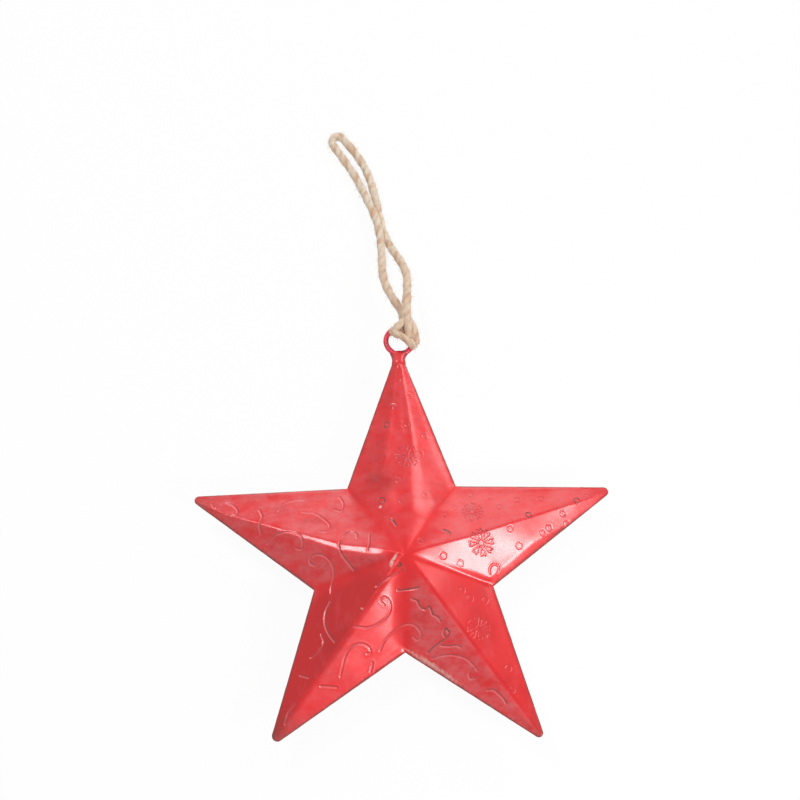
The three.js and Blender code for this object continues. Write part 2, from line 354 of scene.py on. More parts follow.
@dataclass(frozen=True)
class RedLacquer:
    """Glossy red lacquer over embossed tin, paler on some facets as a painted sheen and deeper on others as
    painted shade, with old ink in the stamped lines.
    """

    name: str = "red_lacquer"
    body: Colour = (218, 22, 28)
    deep: Colour = (182, 10, 16)
    # the pale colour laid by facet as a painted sheen, and also in random streaks
    thin: Colour = (214, 92, 96)
    faint_ink: Colour = (152, 62, 76)
    # the colour of the old ink and the worn rim, also laid as painted shade
    patina_and_shade: Colour = (82, 62, 54)
    # the colour of the painted highlight along the scroll lines
    lit_line: Colour = (248, 158, 158)
    stained: Colour = (58, 60, 46)
    # the colour of the chips of bare tin, also laid as a painted sheen
    bare_and_sheen: Colour = (230, 216, 204)
    patches: Grain = Grain(60.0, 3.0, 0.55)
    streaks: Grain = Grain(230.0, 4.0, 0.6, (1.0, 0.45, 1.0))
    clouds: Grain = Grain(170.0, 5.0, 0.65, (1.0, 1.4, 0.8))
    grime: Grain = Grain(820.0, 3.0, 0.65)
    ragged: Grain = Grain(640.0, 3.0, 0.7)
    pebble: Grain = Grain(360.0)
    relief: Point2 = (0.05, 0.4)
    deep_levels: Levels = (0.5, 0.8)
    sheen_cloud_levels: Levels = (0.25, 0.8)
    streak_levels: Levels = (0.5, 0.75)
    streak_share: float = 0.22
    dark_ink_levels: Levels = (0.42, 0.72)
    inked_levels: Levels = (0.32, 0.58, 0.3, 1.0)
    wear_and_shade_levels: Levels = (0.3, 0.62, 0.45, 1.0)
    ragged_levels: Levels = (0.36, 0.5, 0.25, 1.0)
    rough_levels: Levels = (0.3, 0.8)
    roughness: Point2 = (0.3, 0.46)
    metallic: float = 0.2
    specular: float = 0.1
    coat: float = 0.75
    coat_roughness: float = 0.2

    def material(self) -> Material:
        """Builds the finish."""
        b = FinishBench(self.name, self.body)
        streaks, grime = b.grain(self.streaks), b.grain(self.grime)
        thin, stamp = b.attribute("thin"), b.attribute("stamp")
        b.lay(b.span(b.grain(self.patches), *self.deep_levels), self.deep)
        # painted shade: the deep colour on facets where the painted sheen share is below 0
        b.lay(b.times(thin, -1.0, clamp=True), self.deep)
        clouds = b.span(b.grain(self.clouds), *self.sheen_cloud_levels)
        # painted sheen by facet, broken into clouds
        b.lay(b.times(clouds, thin, clamp=True), self.thin)
        b.lay(b.times(b.span(streaks, *self.streak_levels), self.streak_share), self.thin)
        dark = b.span(stamp, *self.dark_ink_levels)
        ink = b.blend(dark, linear(self.faint_ink), linear(self.patina_and_shade))
        # old ink in the stamped lines, read to one side so that it lies on one wall as a painted shade
        b.lay(b.times(stamp, b.span(grime, *self.inked_levels)), ink)
        # painted highlight along the other wall of the scroll lines
        b.lay(b.attribute("glint"), self.lit_line)
        # real wear at the shell's rim and tips; on the eye's solder, painted shade along the neck's flanks
        b.lay(b.times(b.attribute("wear"), b.span(grime, *self.wear_and_shade_levels)), self.patina_and_shade)
        ragged = b.span(b.grain(self.ragged), *self.ragged_levels)
        # stains and chips; one long chip is a painted sheen along an edge
        for spot, colour in (("stain", self.stained), ("chip", self.bare_and_sheen)):
            b.lay(b.times(b.attribute(spot), ragged), colour)
        b.bump(b.grain(self.pebble), *self.relief)
        b.set(
            Base_Color=b.colour,
            Metallic=self.metallic,
            Roughness=b.span(streaks, *self.rough_levels, *self.roughness),
            Specular_IOR_Level=self.specular,
            Coat_Weight=self.coat,
            Coat_Roughness=self.coat_roughness,
        )
        return b.material


@dataclass(frozen=True)
class CrimsonLacquer:
    """The same lacquer on the wire, a little more crimson and brushed on thick."""

    name: str = "crimson_lacquer"
    body: Colour = (218, 34, 68)
    deep: Colour = (186, 16, 40)
    patina_and_shade: Colour = (104, 48, 54)
    patches: Grain = Grain(260.0, 3.0, 0.55)
    painted_shade: Grain = Grain(700.0)
    brushed: Grain = Grain(600.0)
    relief: Point2 = (0.06, 0.6)
    deep_levels: Levels = (0.4, 0.7)
    wear_and_shade_levels: Levels = (0.3, 0.6, 0.4, 1.0)
    metallic: float = 0.2
    roughness: float = 0.4
    specular: float = 0.3
    coat: float = 0.7
    coat_roughness: float = 0.22

    def material(self) -> Material:
        """Builds the finish."""
        b = FinishBench(self.name, self.body)
        b.lay(b.span(b.grain(self.patches), *self.deep_levels), self.deep)
        # painted shade in the crease where the ring's bottom meets the solder
        b.lay(b.times(b.attribute("wear"), b.span(b.grain(self.painted_shade), *self.wear_and_shade_levels)), self.patina_and_shade)
        b.bump(b.grain(self.brushed), *self.relief)
        b.set(
            Base_Color=b.colour,
            Metallic=self.metallic,
            Roughness=self.roughness,
            Specular_IOR_Level=self.specular,
            Coat_Weight=self.coat,
            Coat_Roughness=self.coat_roughness,
        )
        return b.material


@dataclass(frozen=True)
class BareTin:
    """Bright tin plate with grey left in its embossing."""

    name: str = "bare_tin"
    body: Colour = (222, 219, 216)
    dull: Colour = (182, 176, 172)
    antique: Colour = (78, 72, 72)
    clouds: Grain = Grain(90.0, 4.0, 0.6)
    brushed: Grain = Grain(420.0, 4.0, 0.65, (0.3, 1.6, 1.0))
    grime: Grain = Grain(800.0, 3.0, 0.6)
    relief: Point2 = (0.03, 0.5)
    dull_levels: Levels = (0.4, 0.72)
    cloudy_levels: Levels = (0.55, 0.75)
    grimy_levels: Levels = (0.45, 0.7, 0.0, 0.45)
    inked_levels: Levels = (0.2, 0.55, 0.5, 1.0)
    rough_levels: Levels = (0.3, 0.75)
    metallic: float = 0.92
    darkening_share: float = 0.8
    roughness: Point2 = (0.26, 0.46)

    def material(self) -> Material:
        """Builds the finish."""
        b = FinishBench(self.name, self.body)
        clouds, brushed, grime = b.grain(self.clouds), b.grain(self.brushed), b.grain(self.grime)
        b.lay(b.span(clouds, *self.dull_levels), self.dull)
        cloudy, grimy = b.span(clouds, *self.cloudy_levels), b.span(grime, *self.grimy_levels)
        b.lay(b.times(cloudy, grimy), self.antique)
        # old grey in the stamped lines, lying on one wall as a painted shade
        b.lay(b.times(b.attribute("stamp"), b.span(grime, *self.inked_levels)), self.antique)
        b.lay(b.times(b.attribute("wear"), self.darkening_share), self.antique)
        b.bump(brushed, *self.relief)
        rough = b.span(brushed, *self.rough_levels, *self.roughness)
        b.set(Base_Color=b.colour, Metallic=self.metallic, Roughness=rough)
        return b.material


@dataclass(frozen=True)
class SoftSolder:
    """Dull brown-grey solder with red lacquer brushed over parts of it."""

    name: str = "soft_solder"
    body: Colour = (150, 74, 70)
    dark: Colour = (98, 52, 48)
    red: Colour = (200, 36, 42)
    patches: Grain = Grain(180.0, 4.0, 0.6)
    brushed: Grain = Grain(120.0, 3.0, 0.5, (1.3, 1.0, 2.0))
    pitted: Grain = Grain(900.0, 3.0)
    relief: Point2 = (0.05, 0.6)
    dark_levels: Levels = (0.4, 0.65)
    red_levels: Levels = (0.44, 0.58, 0.1, 0.85)
    metallic: float = 0.45
    roughness: float = 0.5

    def material(self) -> Material:
        """Builds the finish."""
        b = FinishBench(self.name, self.body)
        b.lay(b.span(b.grain(self.patches), *self.dark_levels), self.dark)
        b.lay(b.span(b.grain(self.brushed), *self.red_levels), self.red)
        b.bump(b.grain(self.pitted), *self.relief)
        b.set(Base_Color=b.colour, Metallic=self.metallic, Roughness=self.roughness)
        return b.material


@dataclass(frozen=True)
class JuteYarn:
    """Natural jute: pale straw fibres with browner and greyer patches, and more tan nearer the star.

    Up to the lower of two heights, in metres from the star's middle, the twine is more tan by a share.
    Between the two heights it turns to straw.
    """

    name: str = "jute_yarn"
    straw: Colour = (244, 226, 204)
    tan: Colour = (232, 196, 166)
    brown: Colour = (172, 132, 102)
    grey: Colour = (206, 192, 174)
    # the colour of the painted shade in the crevices between the plies
    ply_shade: Colour = (132, 102, 80)
    patches: Grain = Grain(1.0, 3.0, 0.6, (0.2, 0.2, 0.34))
    fibres: Grain = Grain(2.4, 4.0, 0.7, (2.0, 2.0, 0.6))
    strands: Grain = Grain(7.0, 3.0, 0.6, (3.0, 3.0, 0.4))
    relief: Point2 = (0.22, 0.8)
    tan_levels: Levels = (0.46, 0.64)
    grey_levels: Levels = (0.46, 0.3, 0.0, 0.7)
    brown_levels: Levels = (0.55, 0.74, 0.0, 0.8)
    ply_shade_levels: Levels = (0.35, 0.6, 0.1, 0.4)
    roughness: float = 0.88
    specular: float = 0.2
    sheen: float = 0.25
    sheen_roughness: float = 0.5
    straw_from: float = 0.128
    tan_to: float = 0.112
    low_tan_share: float = 0.5

    def material(self) -> Material:
        """Builds the finish."""
        b = FinishBench(self.name, self.straw)
        yarn = b.attribute("yarn", vector=True)
        patches = b.noise(self.patches, yarn)
        b.lay(b.span(patches, *self.tan_levels), self.tan)
        b.lay(b.span(patches, *self.grey_levels), self.grey)
        height_up = b.add("ShaderNodeSeparateXYZ", {"Vector": b.place}).outputs["Y"]
        b.lay(b.span(height_up, self.straw_from, self.tan_to, 0.0, self.low_tan_share), self.tan)
        b.lay(b.span(b.noise(self.fibres, yarn), *self.brown_levels), self.brown)
        # painted shade in the crevices between the plies
        b.lay(b.times(b.attribute("crevice"), b.span(patches, *self.ply_shade_levels)), self.ply_shade)
        b.bump(b.noise(self.strands, yarn), *self.relief)
        b.set(Base_Color=b.colour, Roughness=self.roughness, Specular_IOR_Level=self.specular)
        b.set(Sheen_Weight=self.sheen, Sheen_Roughness=self.sheen_roughness)
        return b.material


@dataclass(frozen=True)
class WhiteFloor:
    """A plain pale floor that the camera sees as white, with a soft shadow left on it."""

    name: str = "pale_floor"
    paint: float = 0.94
    glow_share: float = 0.94

    def material(self) -> Material:
        """Builds the finish."""
        material = bpy.data.materials.new(self.name)
        material.use_nodes = True
        b = NodeBench(material.node_tree)
        b.tree.nodes.clear()
        paint = b.result("ShaderNodeBsdfDiffuse", {"Color": (self.paint,) * 3 + (1.0,)})
        glow = b.result("ShaderNodeEmission", {"Color": WHITE, "Strength": 1.0})
        share = b.times(b.seen_directly(), self.glow_share)
        b.add("ShaderNodeOutputMaterial", {0: b.result("ShaderNodeMixShader", {0: share, 1: paint, 2: glow})})
        return material


@dataclass(frozen=True)
class PhotoCamera:
    """The camera where the photograph was taken from, in millimetres of the part's frame."""

    place: Point3 = (-0.51, -165.17, 635.88)
    looks: Point3 = (0.00106, 0.34152, -0.93987)
    up: Point3 = (0.02242, 0.93963, 0.34146)
    lens: float = 81.0
    sensor: float = 36.0

    def build(self) -> None:
        """Makes the camera and gives it to the scene."""
        data = bpy.data.cameras.new("camera")
        data.lens, data.sensor_width = self.lens, self.sensor
        data.clip_start, data.clip_end = 0.01, 20.0
        camera = bpy.data.objects.new("camera", data)
        back = -Vector(self.looks).normalized()
        right = Vector(self.up).cross(back).normalized()
        turn = Matrix((right, back.cross(right), back)).transposed()
        camera.matrix_world = Matrix.Translation(Vector(self.place) * MM) @ turn.to_4x4()
        bpy.context.scene.collection.objects.link(camera)
        bpy.context.scene.camera = camera


@dataclass(frozen=True)
class SoftBox:
    """One soft studio lamp that faces a point on the star."""

    name: str
    towards: Point3
    distance: float
    size: Point2
    power: float
    aim: Point3 = (0.0, 0.0, 20.0)
    roll_degrees: float = 0.0

    def build(self) -> None:
        """Makes the lamp and turns it to its aim."""
        data = bpy.data.lights.new(self.name, "AREA")
        data.shape = "RECTANGLE"
        data.size, data.size_y = self.size[0] * MM, self.size[1] * MM
        data.energy = self.power
        lamp = bpy.data.objects.new(self.name, data)
        away = Vector(self.towards).normalized()
        lamp.location = (Vector(self.aim) + away * self.distance) * MM
        roll = Quaternion((0.0, 0.0, 1.0), math.radians(self.roll_degrees))
        lamp.rotation_euler = (away.to_track_quat("Z", "Y") @ roll).to_euler()
        bpy.context.scene.collection.objects.link(lamp)


@dataclass
class Studio:
    """The floor, the even light all round and the soft lamps."""

    floor_half_width: float = 3000.0
    floor_drop: float = 0.05
    even_light: float = 0.4
    lamps: tuple[SoftBox, ...] = (
        SoftBox("key_lamp", towards=(0.58, 0.54, 0.61), distance=900.0, size=(330.0, 330.0), power=1.65),
        SoftBox(
            "low_back_panel",
            towards=(0.05, 0.95, 0.30),
            distance=650.0,
            size=(520.0, 200.0),
            power=0.6,
            aim=(0.0, 20.0, 18.0),
        ),
        SoftBox(
            "right_sheen_lamp",
            towards=(0.590, -0.495, 0.640),
            distance=400.0,
            size=(120.0, 50.0),
            power=0.68,
            aim=(32.0, -0.5, 20.0),
            roll_degrees=-46.0,
        ),
        SoftBox(
            "left_sheen_lamp",
            towards=(-0.325, 0.36, 0.875),
            distance=600.0,
            size=(120.0, 110.0),
            power=1.0,
            aim=(-25.0, 6.0, 23.0),
        ),
    )

    def build(self) -> None:
        """Makes the floor, the world and the lamps."""
        w, z = self.floor_half_width, -self.floor_drop
        square = np.array([(-w, -w, z), (w, -w, z), (w, w, z), (-w, w, z)])
        floor = mesh_object("floor", square, [(0, 1, 2, 3)])
        floor.data.materials.append(WhiteFloor().material())
        world = bpy.data.worlds.new("studio")
        world.use_nodes = True
        b = NodeBench(world.node_tree)
        b.tree.nodes.clear()
        even = b.result("ShaderNodeBackground", {"Color": WHITE, "Strength": self.even_light})
        white = b.result("ShaderNodeBackground", {"Color": WHITE, "Strength": 1.0})
        mixed = b.result("ShaderNodeMixShader", {0: b.seen_directly(), 1: even, 2: white})
        b.add("ShaderNodeOutputWorld", {0: mixed})
        bpy.context.scene.world = world
        for lamp in self.lamps:
            lamp.build()


class SocketKind(Enum):
    """What a tree's named input holds."""

    SIZE = "NodeSocketFloat"
    COUNT = "NodeSocketInt"
    PIECE = "NodeSocketObject"
    FINISH = "NodeSocketMaterial"


class GrowingTree(NodeBench):
    """A geometry node tree with named inputs, run once on a piece and kept as a plain mesh."""

    def __init__(self, name: str) -> None:
        """Starts a tree that takes in one geometry and gives one back."""
        tree = bpy.data.node_groups.new(name, "GeometryNodeTree")
        super().__init__(tree)
        tree.interface.new_socket("Geometry", in_out="INPUT", socket_type="NodeSocketGeometry")
        tree.interface.new_socket("Geometry", in_out="OUTPUT", socket_type="NodeSocketGeometry")
        self.values: dict[str, object] = {}
        self.start = self.add("NodeGroupInput")

    def input(self, name: str, kind: SocketKind, value: object) -> Link:
        """Adds a named input with the value that the modifier gives it, and returns its link."""
        socket = self.tree.interface.new_socket(name, in_out="INPUT", socket_type=kind.value)
        self.values[socket.identifier] = value
        return self.start.outputs[name]

    def sizes(self, **values: float) -> dict[str, Link]:
        """Adds a named input for each size, with the underscores in its name written as spaces."""
        names = {key: key.replace("_", " ").capitalize() for key in values}
        return {key: self.input(names[key], SocketKind.SIZE, value) for key, value in values.items()}

    def geometry_of(self, piece: Link) -> Link:
        """Reads the geometry of a piece that an input names."""
        return self.add("GeometryNodeObjectInfo", {"Object": piece}).outputs["Geometry"]

    def attribute(self, name: str) -> Link:
        """Reads a number that the geometry's points carry."""
        return self.result("GeometryNodeInputNamedAttribute", {"Name": name}, data_type="FLOAT")

    def distance_to(self, lines: Link, where: Link) -> Link:
        """Measures how far a place lies from the nearest of some lines."""
        inputs = {"Geometry": lines, "Sample Position": where}
        return self.add("GeometryNodeProximity", inputs, target_element="EDGES").outputs["Distance"]

    def vector(self, x: object = 0.0, y: object = 0.0, z: object = 0.0) -> Link:
        """Joins three numbers or links to a vector."""
        return self.result("ShaderNodeCombineXYZ", {"X": x, "Y": y, "Z": z})

    def run(self, piece: Piece, geometry: Link, finish: Link) -> Piece:
        """Ends the tree, runs it on a piece and keeps the result as the piece's plain mesh.

        Args:
            piece: The object that the tree works on.
            geometry: The last geometry in the tree.
            finish: The input that holds the material.

        Returns:
            The same piece with its new mesh and no modifier.
        """
        real = self.result("GeometryNodeRealizeInstances", {"Geometry": geometry})
        coated = self.result("GeometryNodeSetMaterial", {"Geometry": real, "Material": finish})
        self.add("NodeGroupOutput", {"Geometry": coated})
        modifier = piece.modifiers.new(self.tree.name, "NODES")
        modifier.node_group = self.tree
        for identifier, value in self.values.items():
            modifier[identifier] = value
        piece.update_tag()
        graph = bpy.context.evaluated_depsgraph_get()
        grown = piece.evaluated_get(graph)
        mesh = bpy.data.meshes.new_from_object(grown, preserve_all_data_layers=True, depsgraph=graph)
        piece.modifiers.clear()
        mesh.name = piece.name
        piece.data = mesh
        return piece


@dataclass(frozen=True)
class Lie:
    """Where places lie in the arms of the star.

    Attributes:
        arm: The arm, counted anticlockwise from the hanging one.
        along: How far out along the arm's middle line.
        across: How far beside that line, more than 0 on its anticlockwise side.
        inside: How far inside the outline, 0 outside it.
        reach: How far from the star's centre.
        from_valley: How far from the nearest valley.
    """

    arm: np.ndarray
    along: np.ndarray
    across: np.ndarray
    inside: np.ndarray
    reach: np.ndarray
    from_valley: np.ndarray


@dataclass(frozen=True)
class StarPlan:
    """The star's outline, which both shells and the solder between them follow."""

    arms: int = 5
    tip_radius: float = 81.2
    notch_radius: float = 33.2
    tip_roundings: tuple[float, ...] = (1.5, 1.8, 1.4, 1.6)
    hanging_arm_end: float = 75.01
    rim_step: float = 0.32
    tip_steps: int = 14

    @property
    def half_arm(self) -> float:
        """The angle from an arm's middle to the notch beside it."""
        return math.pi / self.arms

    @property
    def tip_half_angle(self) -> float:
        """The angle between an arm's middle line and its edge."""
        run = self.tip_radius - self.notch_radius * math.cos(self.half_arm)
        return math.atan2(self.notch_radius * math.sin(self.half_arm), run)

    @property
    def edge_turn(self) -> float:
        """The direction square to an edge, from the arm's middle line."""
        return math.pi / 2 - self.tip_half_angle

    @property
    def edge_distance(self) -> float:
        """The distance from the star's centre to each edge's line."""
        return self.tip_radius * math.sin(self.tip_half_angle)

    def fold(self, places: np.ndarray) -> tuple[np.ndarray, np.ndarray, np.ndarray]:
        """Finds each place's arm, counted round from the hanging one, and its place along and across it."""
        turn = np.arctan2(places[:, 1], places[:, 0]) - math.pi / 2
        arm = np.round(turn / (2 * self.half_arm))
        local = turn - arm * 2 * self.half_arm
        reach = np.hypot(places[:, 0], places[:, 1])
        return arm.astype(int) % self.arms, reach * np.cos(local), reach * np.sin(local)

    def rim_distance(self, places: np.ndarray) -> np.ndarray:
        """Measures how far inside the outline each place lies, less than 0 outside."""
        arm, along, across = self.fold(places)
        across = np.abs(across)
        turn = self.edge_turn
        inside = self.edge_distance - along * math.cos(turn) - across * math.sin(turn)
        for number, rounding in enumerate(self.tip_roundings, start=1):
            centre = self.tip_radius - rounding / math.sin(self.tip_half_angle)
            at_tip = (arm == number) & ((along - centre) * math.sin(turn) > across * math.cos(turn))
            inside[at_tip] = rounding - np.hypot(along - centre, across)[at_tip]
        hanging = arm == 0
        inside[hanging] = np.minimum(inside, self.hanging_arm_end - along)[hanging]
        return inside

    def lie(self, places: np.ndarray) -> Lie:
        """Finds how places lie in their arms."""
        arm, along, across = self.fold(places)
        reach = np.hypot(along, across)
        from_valley = reach * np.sin(self.half_arm - np.arctan2(np.abs(across), along))
        return Lie(arm, along, across, np.maximum(self.rim_distance(places), 0), reach, from_valley)

    def to_rim(self, along: np.ndarray) -> np.ndarray:
        """Measures from an arm's middle line square to its edge."""
        return (self.tip_radius - along) * math.sin(self.tip_half_angle)

    def outline(self, inset: float = 0.0) -> np.ndarray:
        """Walks round the outline anticlockwise, moved in by the inset, always in equally many points."""
        turn, distance = self.edge_turn, self.edge_distance - inset
        notch = distance / math.cos(turn - self.half_arm)
        corner = notch * np.array([math.cos(self.half_arm), math.sin(self.half_arm)])
        steps = round((self.tip_radius - self.notch_radius) / self.rim_step)
        walked = []
        for number in range(self.arms):
            if number == 0:
                end = self.hanging_arm_end - inset
                half = (distance - end * math.cos(turn)) / math.sin(turn)
                tip = np.stack([np.full(self.tip_steps, end), np.linspace(-half, half, self.tip_steps)], 1)
            else:
                rounding = self.tip_roundings[number - 1]
                centre = self.tip_radius - rounding / math.sin(self.tip_half_angle)
                sweep = np.linspace(-turn, turn, self.tip_steps)
                tip = (rounding - inset) * np.stack([np.cos(sweep), np.sin(sweep)], 1) + (centre, 0)
            rise = np.linspace(corner * (1, -1), tip[0], steps, endpoint=False)
            fall = np.linspace(tip[-1], corner, steps, endpoint=False)[1:]
            arm = np.vstack([rise, tip, fall])
            angle = math.pi / 2 + number * 2 * self.half_arm
            c, s = math.cos(angle), math.sin(angle)
            walked.append(arm @ np.array([[c, s], [-s, c]]))
        return np.vstack(walked)


@dataclass(frozen=True)
class Ornament:
    """The stamped decoration: flowers, small rings and scrolls, by their places on the star."""

    flowers: tuple[Point3, ...] = (
        (2.2, 36.9, 0.6), (-8.6, 39.1, 0.3), (24.9, 15.3, 0.5), (27.6, 3.6, 0.8), (25.5, -26.5, 0.3),
    )
    rings: tuple[Point3, ...] = (
        (-0.4, 66.6, 0.5), (3.5, 61.3, 0.35), (-2.4, 57.0, 0.75), (-5.1, 49.8, 0.95), (2.5, 49.5, 0.3),
        (8.6, 45.6, 0.55), (-7.8, 42.6, 0.45), (-8.6, 36.7, 0.5), (7.0, 38.4, 0.3), (-9.1, 28.8, 0.5),
        (-1.5, 27.3, 0.3), (-7.4, 19.8, 0.9), (-0.3, 19.2, 0.5), (8.3, 21.9, 0.3), (15.2, 14.2, 0.3),
        (6.4, 3.6, 0.6), (14.0, -1.5, 0.55), (19.9, -3.7, 0.45), (34.6, 17.3, 0.25), (41.2, 20.2, 0.3),
        (49.8, 20.5, 0.25), (38.1, 8.8, 0.7), (44.7, 13.8, 0.95), (41.2, 3.4, 0.6), (52.3, 10.0, 0.6),
        (57.5, 15.0, 0.75), (58.9, 11.7, 0.35), (62.4, 19.6, 0.95), (50.0, 8.2, 0.45), (66.4, 21.2, 0.3),
        (23.1, -15.7, 0.25), (20.4, -13.0, 0.25), (35.5, -40.2, 0.5), (36.5, -48.0, 0.5), (18.9, 17.2, 0.2),
        (24.5, 22.8, 0.25), (31.6, 21.8, 0.25), (28.4, -15.9, 0.2),
    )
    scrolls: tuple[tuple[float, tuple[Point2, ...]], ...] = (
        (0.6, ((-63.1, 22.3), (-60.3, 20.8), (-58.8, 18.6), (-59.2, 16.9), (-60.8, 17.0))),
        (0.4, ((-68.3, 21.9), (-67.0, 20.0), (-64.9, 20.8))),
        (0.6, ((-51.1, 18.9), (-49.9, 15.7), (-50.8, 12.7), (-50.4, 9.7))),
        (0.4, ((-35.5, 17.3), (-31.1, 16.5), (-27.8, 14.0), (-25.8, 11.3), (-26.6, 9.0), (-29.0, 8.9))),
        (0.25, ((-44.2, 18.3), (-42.2, 21.2), (-38.4, 22.5), (-35.1, 22.6))),
        (0.4, ((-24.0, 17.9), (-21.8, 17.2), (-21.0, 20.5), (-22.4, 23.3))),
        (0.55, ((-48.2, 6.4), (-45.4, 8.6), (-40.9, 9.2), (-37.0, 8.3), (-35.4, 6.1), (-35.8, 3.1),
          (-37.7, 3.6))),
        (0.6, ((-31.3, -2.6), (-32.9, -1.7), (-32.7, 0.1), (-30.5, 0.8), (-27.9, 0.1), (-25.3, -2.4),
          (-24.5, -6.0), (-25.4, -9.6), (-25.7, -12.4))),
        (0.6, ((-20.9, 6.6), (-19.0, 8.1), (-16.3, 7.4), (-16.1, 5.7))),
        (0.75, ((-22.0, 4.7), (-22.4, 2.8), (-21.4, -0.3), (-19.3, -3.0), (-17.4, -5.2))),
        (0.7, ((-11.5, 6.9), (-11.8, 2.7), (-12.4, 0.3))),
        (0.7, ((-25.7, -15.3), (-27.6, -19.3), (-27.8, -23.3), (-26.6, -27.0), (-24.3, -30.5))),
        (0.5, ((-6.8, -18.5), (-8.3, -17.0), (-6.7, -15.9), (-5.1, -17.2), (-4.8, -19.6), (-6.1, -22.1),
          (-8.8, -24.3), (-12.6, -25.9), (-17.4, -25.7))),
        (0.6, ((-1.8, -7.8), (-5.8, -9.8), (-9.5, -12.4))),
        (0.95, ((-2.1, -13.6), (0.9, -13.4), (5.0, -13.0))),
        (0.4, ((-22.7, -41.9), (-21.8, -38.7), (-20.7, -35.2), (-18.7, -32.4), (-15.7, -31.2),
          (-12.7, -32.1), (-12.0, -33.9), (-13.3, -34.3))),
        (0.6, ((-29.4, -45.2), (-26.8, -45.3), (-23.9, -45.4))),
        (0.5, ((-32.8, -35.2), (-30.3, -33.4), (-28.3, -30.4), (-29.2, -27.0))),
        (0.5, ((-36.6, -41.0), (-33.5, -42.2))),
        (0.5, ((-11.4, -36.9), (-12.2, -40.1))),
        (0.5, ((-38.0, -50.7), (-40.5, -53.6), (-41.9, -57.7))),
        (0.5, ((-8.8, -33.1), (-7.0, -29.8), (-4.0, -26.9), (-0.3, -24.6), (3.0, -24.7), (5.1, -26.6),
          (5.7, -28.6), (4.2, -29.6), (2.9, -28.6))),
        (0.9, ((2.6, -16.4), (4.5, -17.2), (4.9, -18.3), (6.1, -19.8), (7.5, -20.1), (8.5, -19.4),
          (9.3, -20.8), (9.7, -22.0), (11.3, -22.9), (12.5, -24.5))),
        (0.9, ((14.1, -26.9), (15.3, -28.3), (14.4, -29.7), (11.1, -31.7), (9.5, -32.7), (7.8, -34.1))),
        (0.9, ((14.1, -26.9), (13.3, -28.3), (14.1, -29.8))),
        (0.7, ((12.4, -32.2), (15.2, -32.6), (17.7, -32.6), (19.3, -33.3))),
        (0.6, ((9.4, -36.1), (12.7, -35.4), (16.8, -35.6), (20.9, -37.0), (23.3, -39.2), (24.9, -41.2))),
        (0.6, ((23.3, -40.2), (21.8, -42.1), (22.4, -43.6), (23.9, -43.4))),
        (0.7, ((28.0, -47.7), (30.0, -47.7), (32.0, -49.3), (33.6, -51.0), (34.4, -52.4))),
        (0.3, ((30.6, -6.4), (30.4, -4.8), (31.5, -3.4), (33.1, -3.3), (33.9, -4.6), (33.3, -5.8))),
        (0.7, ((14.4, 8.0), (15.6, 7.5), (16.7, 6.6))),
        (0.7, ((-3.6, 12.1), (-2.9, 10.8), (-2.2, 9.5))),
    )
    petals: int = 8
    petal_reach: tuple[float, ...] = (0.2, 0.52, 0.84, 1.0, 0.88, 1.0, 0.84, 0.52, 0.2)
    petal_lean: tuple[float, ...] = (-0.06, -0.15, -0.24, -0.17, 0.0, 0.17, 0.24, 0.15, 0.06)
    flower_radius: float = 4.2
    ring_radius: float = 1.1
    ring_points: int = 15
    scallops: int = 5
    scallop_share: float = 0.08
    size_range: Point2 = (0.88, 1.08)
    stamp_margin: float = 0.7
    scroll_margin: float = 1.2
    seed: int = 11

    def flower_die(self) -> Piece:
        """Draws one flower: slim outlined petals that widen outwards, each with a notch in its end."""
        reach = self.flower_radius * np.array(self.petal_reach)
        n = len(reach)
        verts: list[np.ndarray] = []
        edges: list[tuple[int, int]] = []
        for k in range(self.petals):
            angle = 2 * math.pi * k / self.petals + np.array(self.petal_lean)
            verts.append(np.stack([reach * np.cos(angle), reach * np.sin(angle), 0 * reach], 1))
            edges += [(n * k + i, n * k + (i + 1) % n) for i in range(n)]
        return mesh_object("flower_die", np.vstack(verts), [], edges)

    def ring_die(self) -> Piece:
        """Draws one small ring with a faintly scalloped edge."""
        n = self.ring_points
        angle = round_angles(n)
        reach = self.ring_radius * (1 + self.scallop_share * np.cos(self.scallops * angle))
        verts = np.stack([reach * np.cos(angle), reach * np.sin(angle), 0 * angle], 1)
        return mesh_object("ring_die", verts, [], [(i, (i + 1) % n) for i in range(n)])

    def places(self, name: str, points: Sequence[Point3], flip: float) -> Piece:
        """Makes a cloud of stamp places, each with its own turn, size and ink."""
        chance = np.random.default_rng(self.seed)
        verts = np.array([(x * flip, y, 0) for x, y, _ in points])
        values = {
            "turn": chance.uniform(0, 2 * math.pi, len(points)),
            "size": chance.uniform(*self.size_range, len(points)),
            "ink": np.array([ink for _, _, ink in points]),
        }
        return mesh_object(name, verts, [], values=values)

    def scroll_lines(self, flip: float) -> Piece:
        """Draws the scrolls as fine smooth lines."""
        verts: list[np.ndarray] = []
        inks: list[float] = []
        edges: list[tuple[int, int]] = []
        first = 0
        for ink, scroll in self.scrolls:
            line = route_through([(x * flip, y, 0) for x, y in scroll], 0.4)
            verts.append(line)
            inks += [ink] * len(line)
            edges += [(first + i, first + i + 1) for i in range(len(line) - 1)]
            first += len(line)
        return mesh_object("scroll_lines", np.vstack(verts), [], edges, {"ink": np.array(inks)})

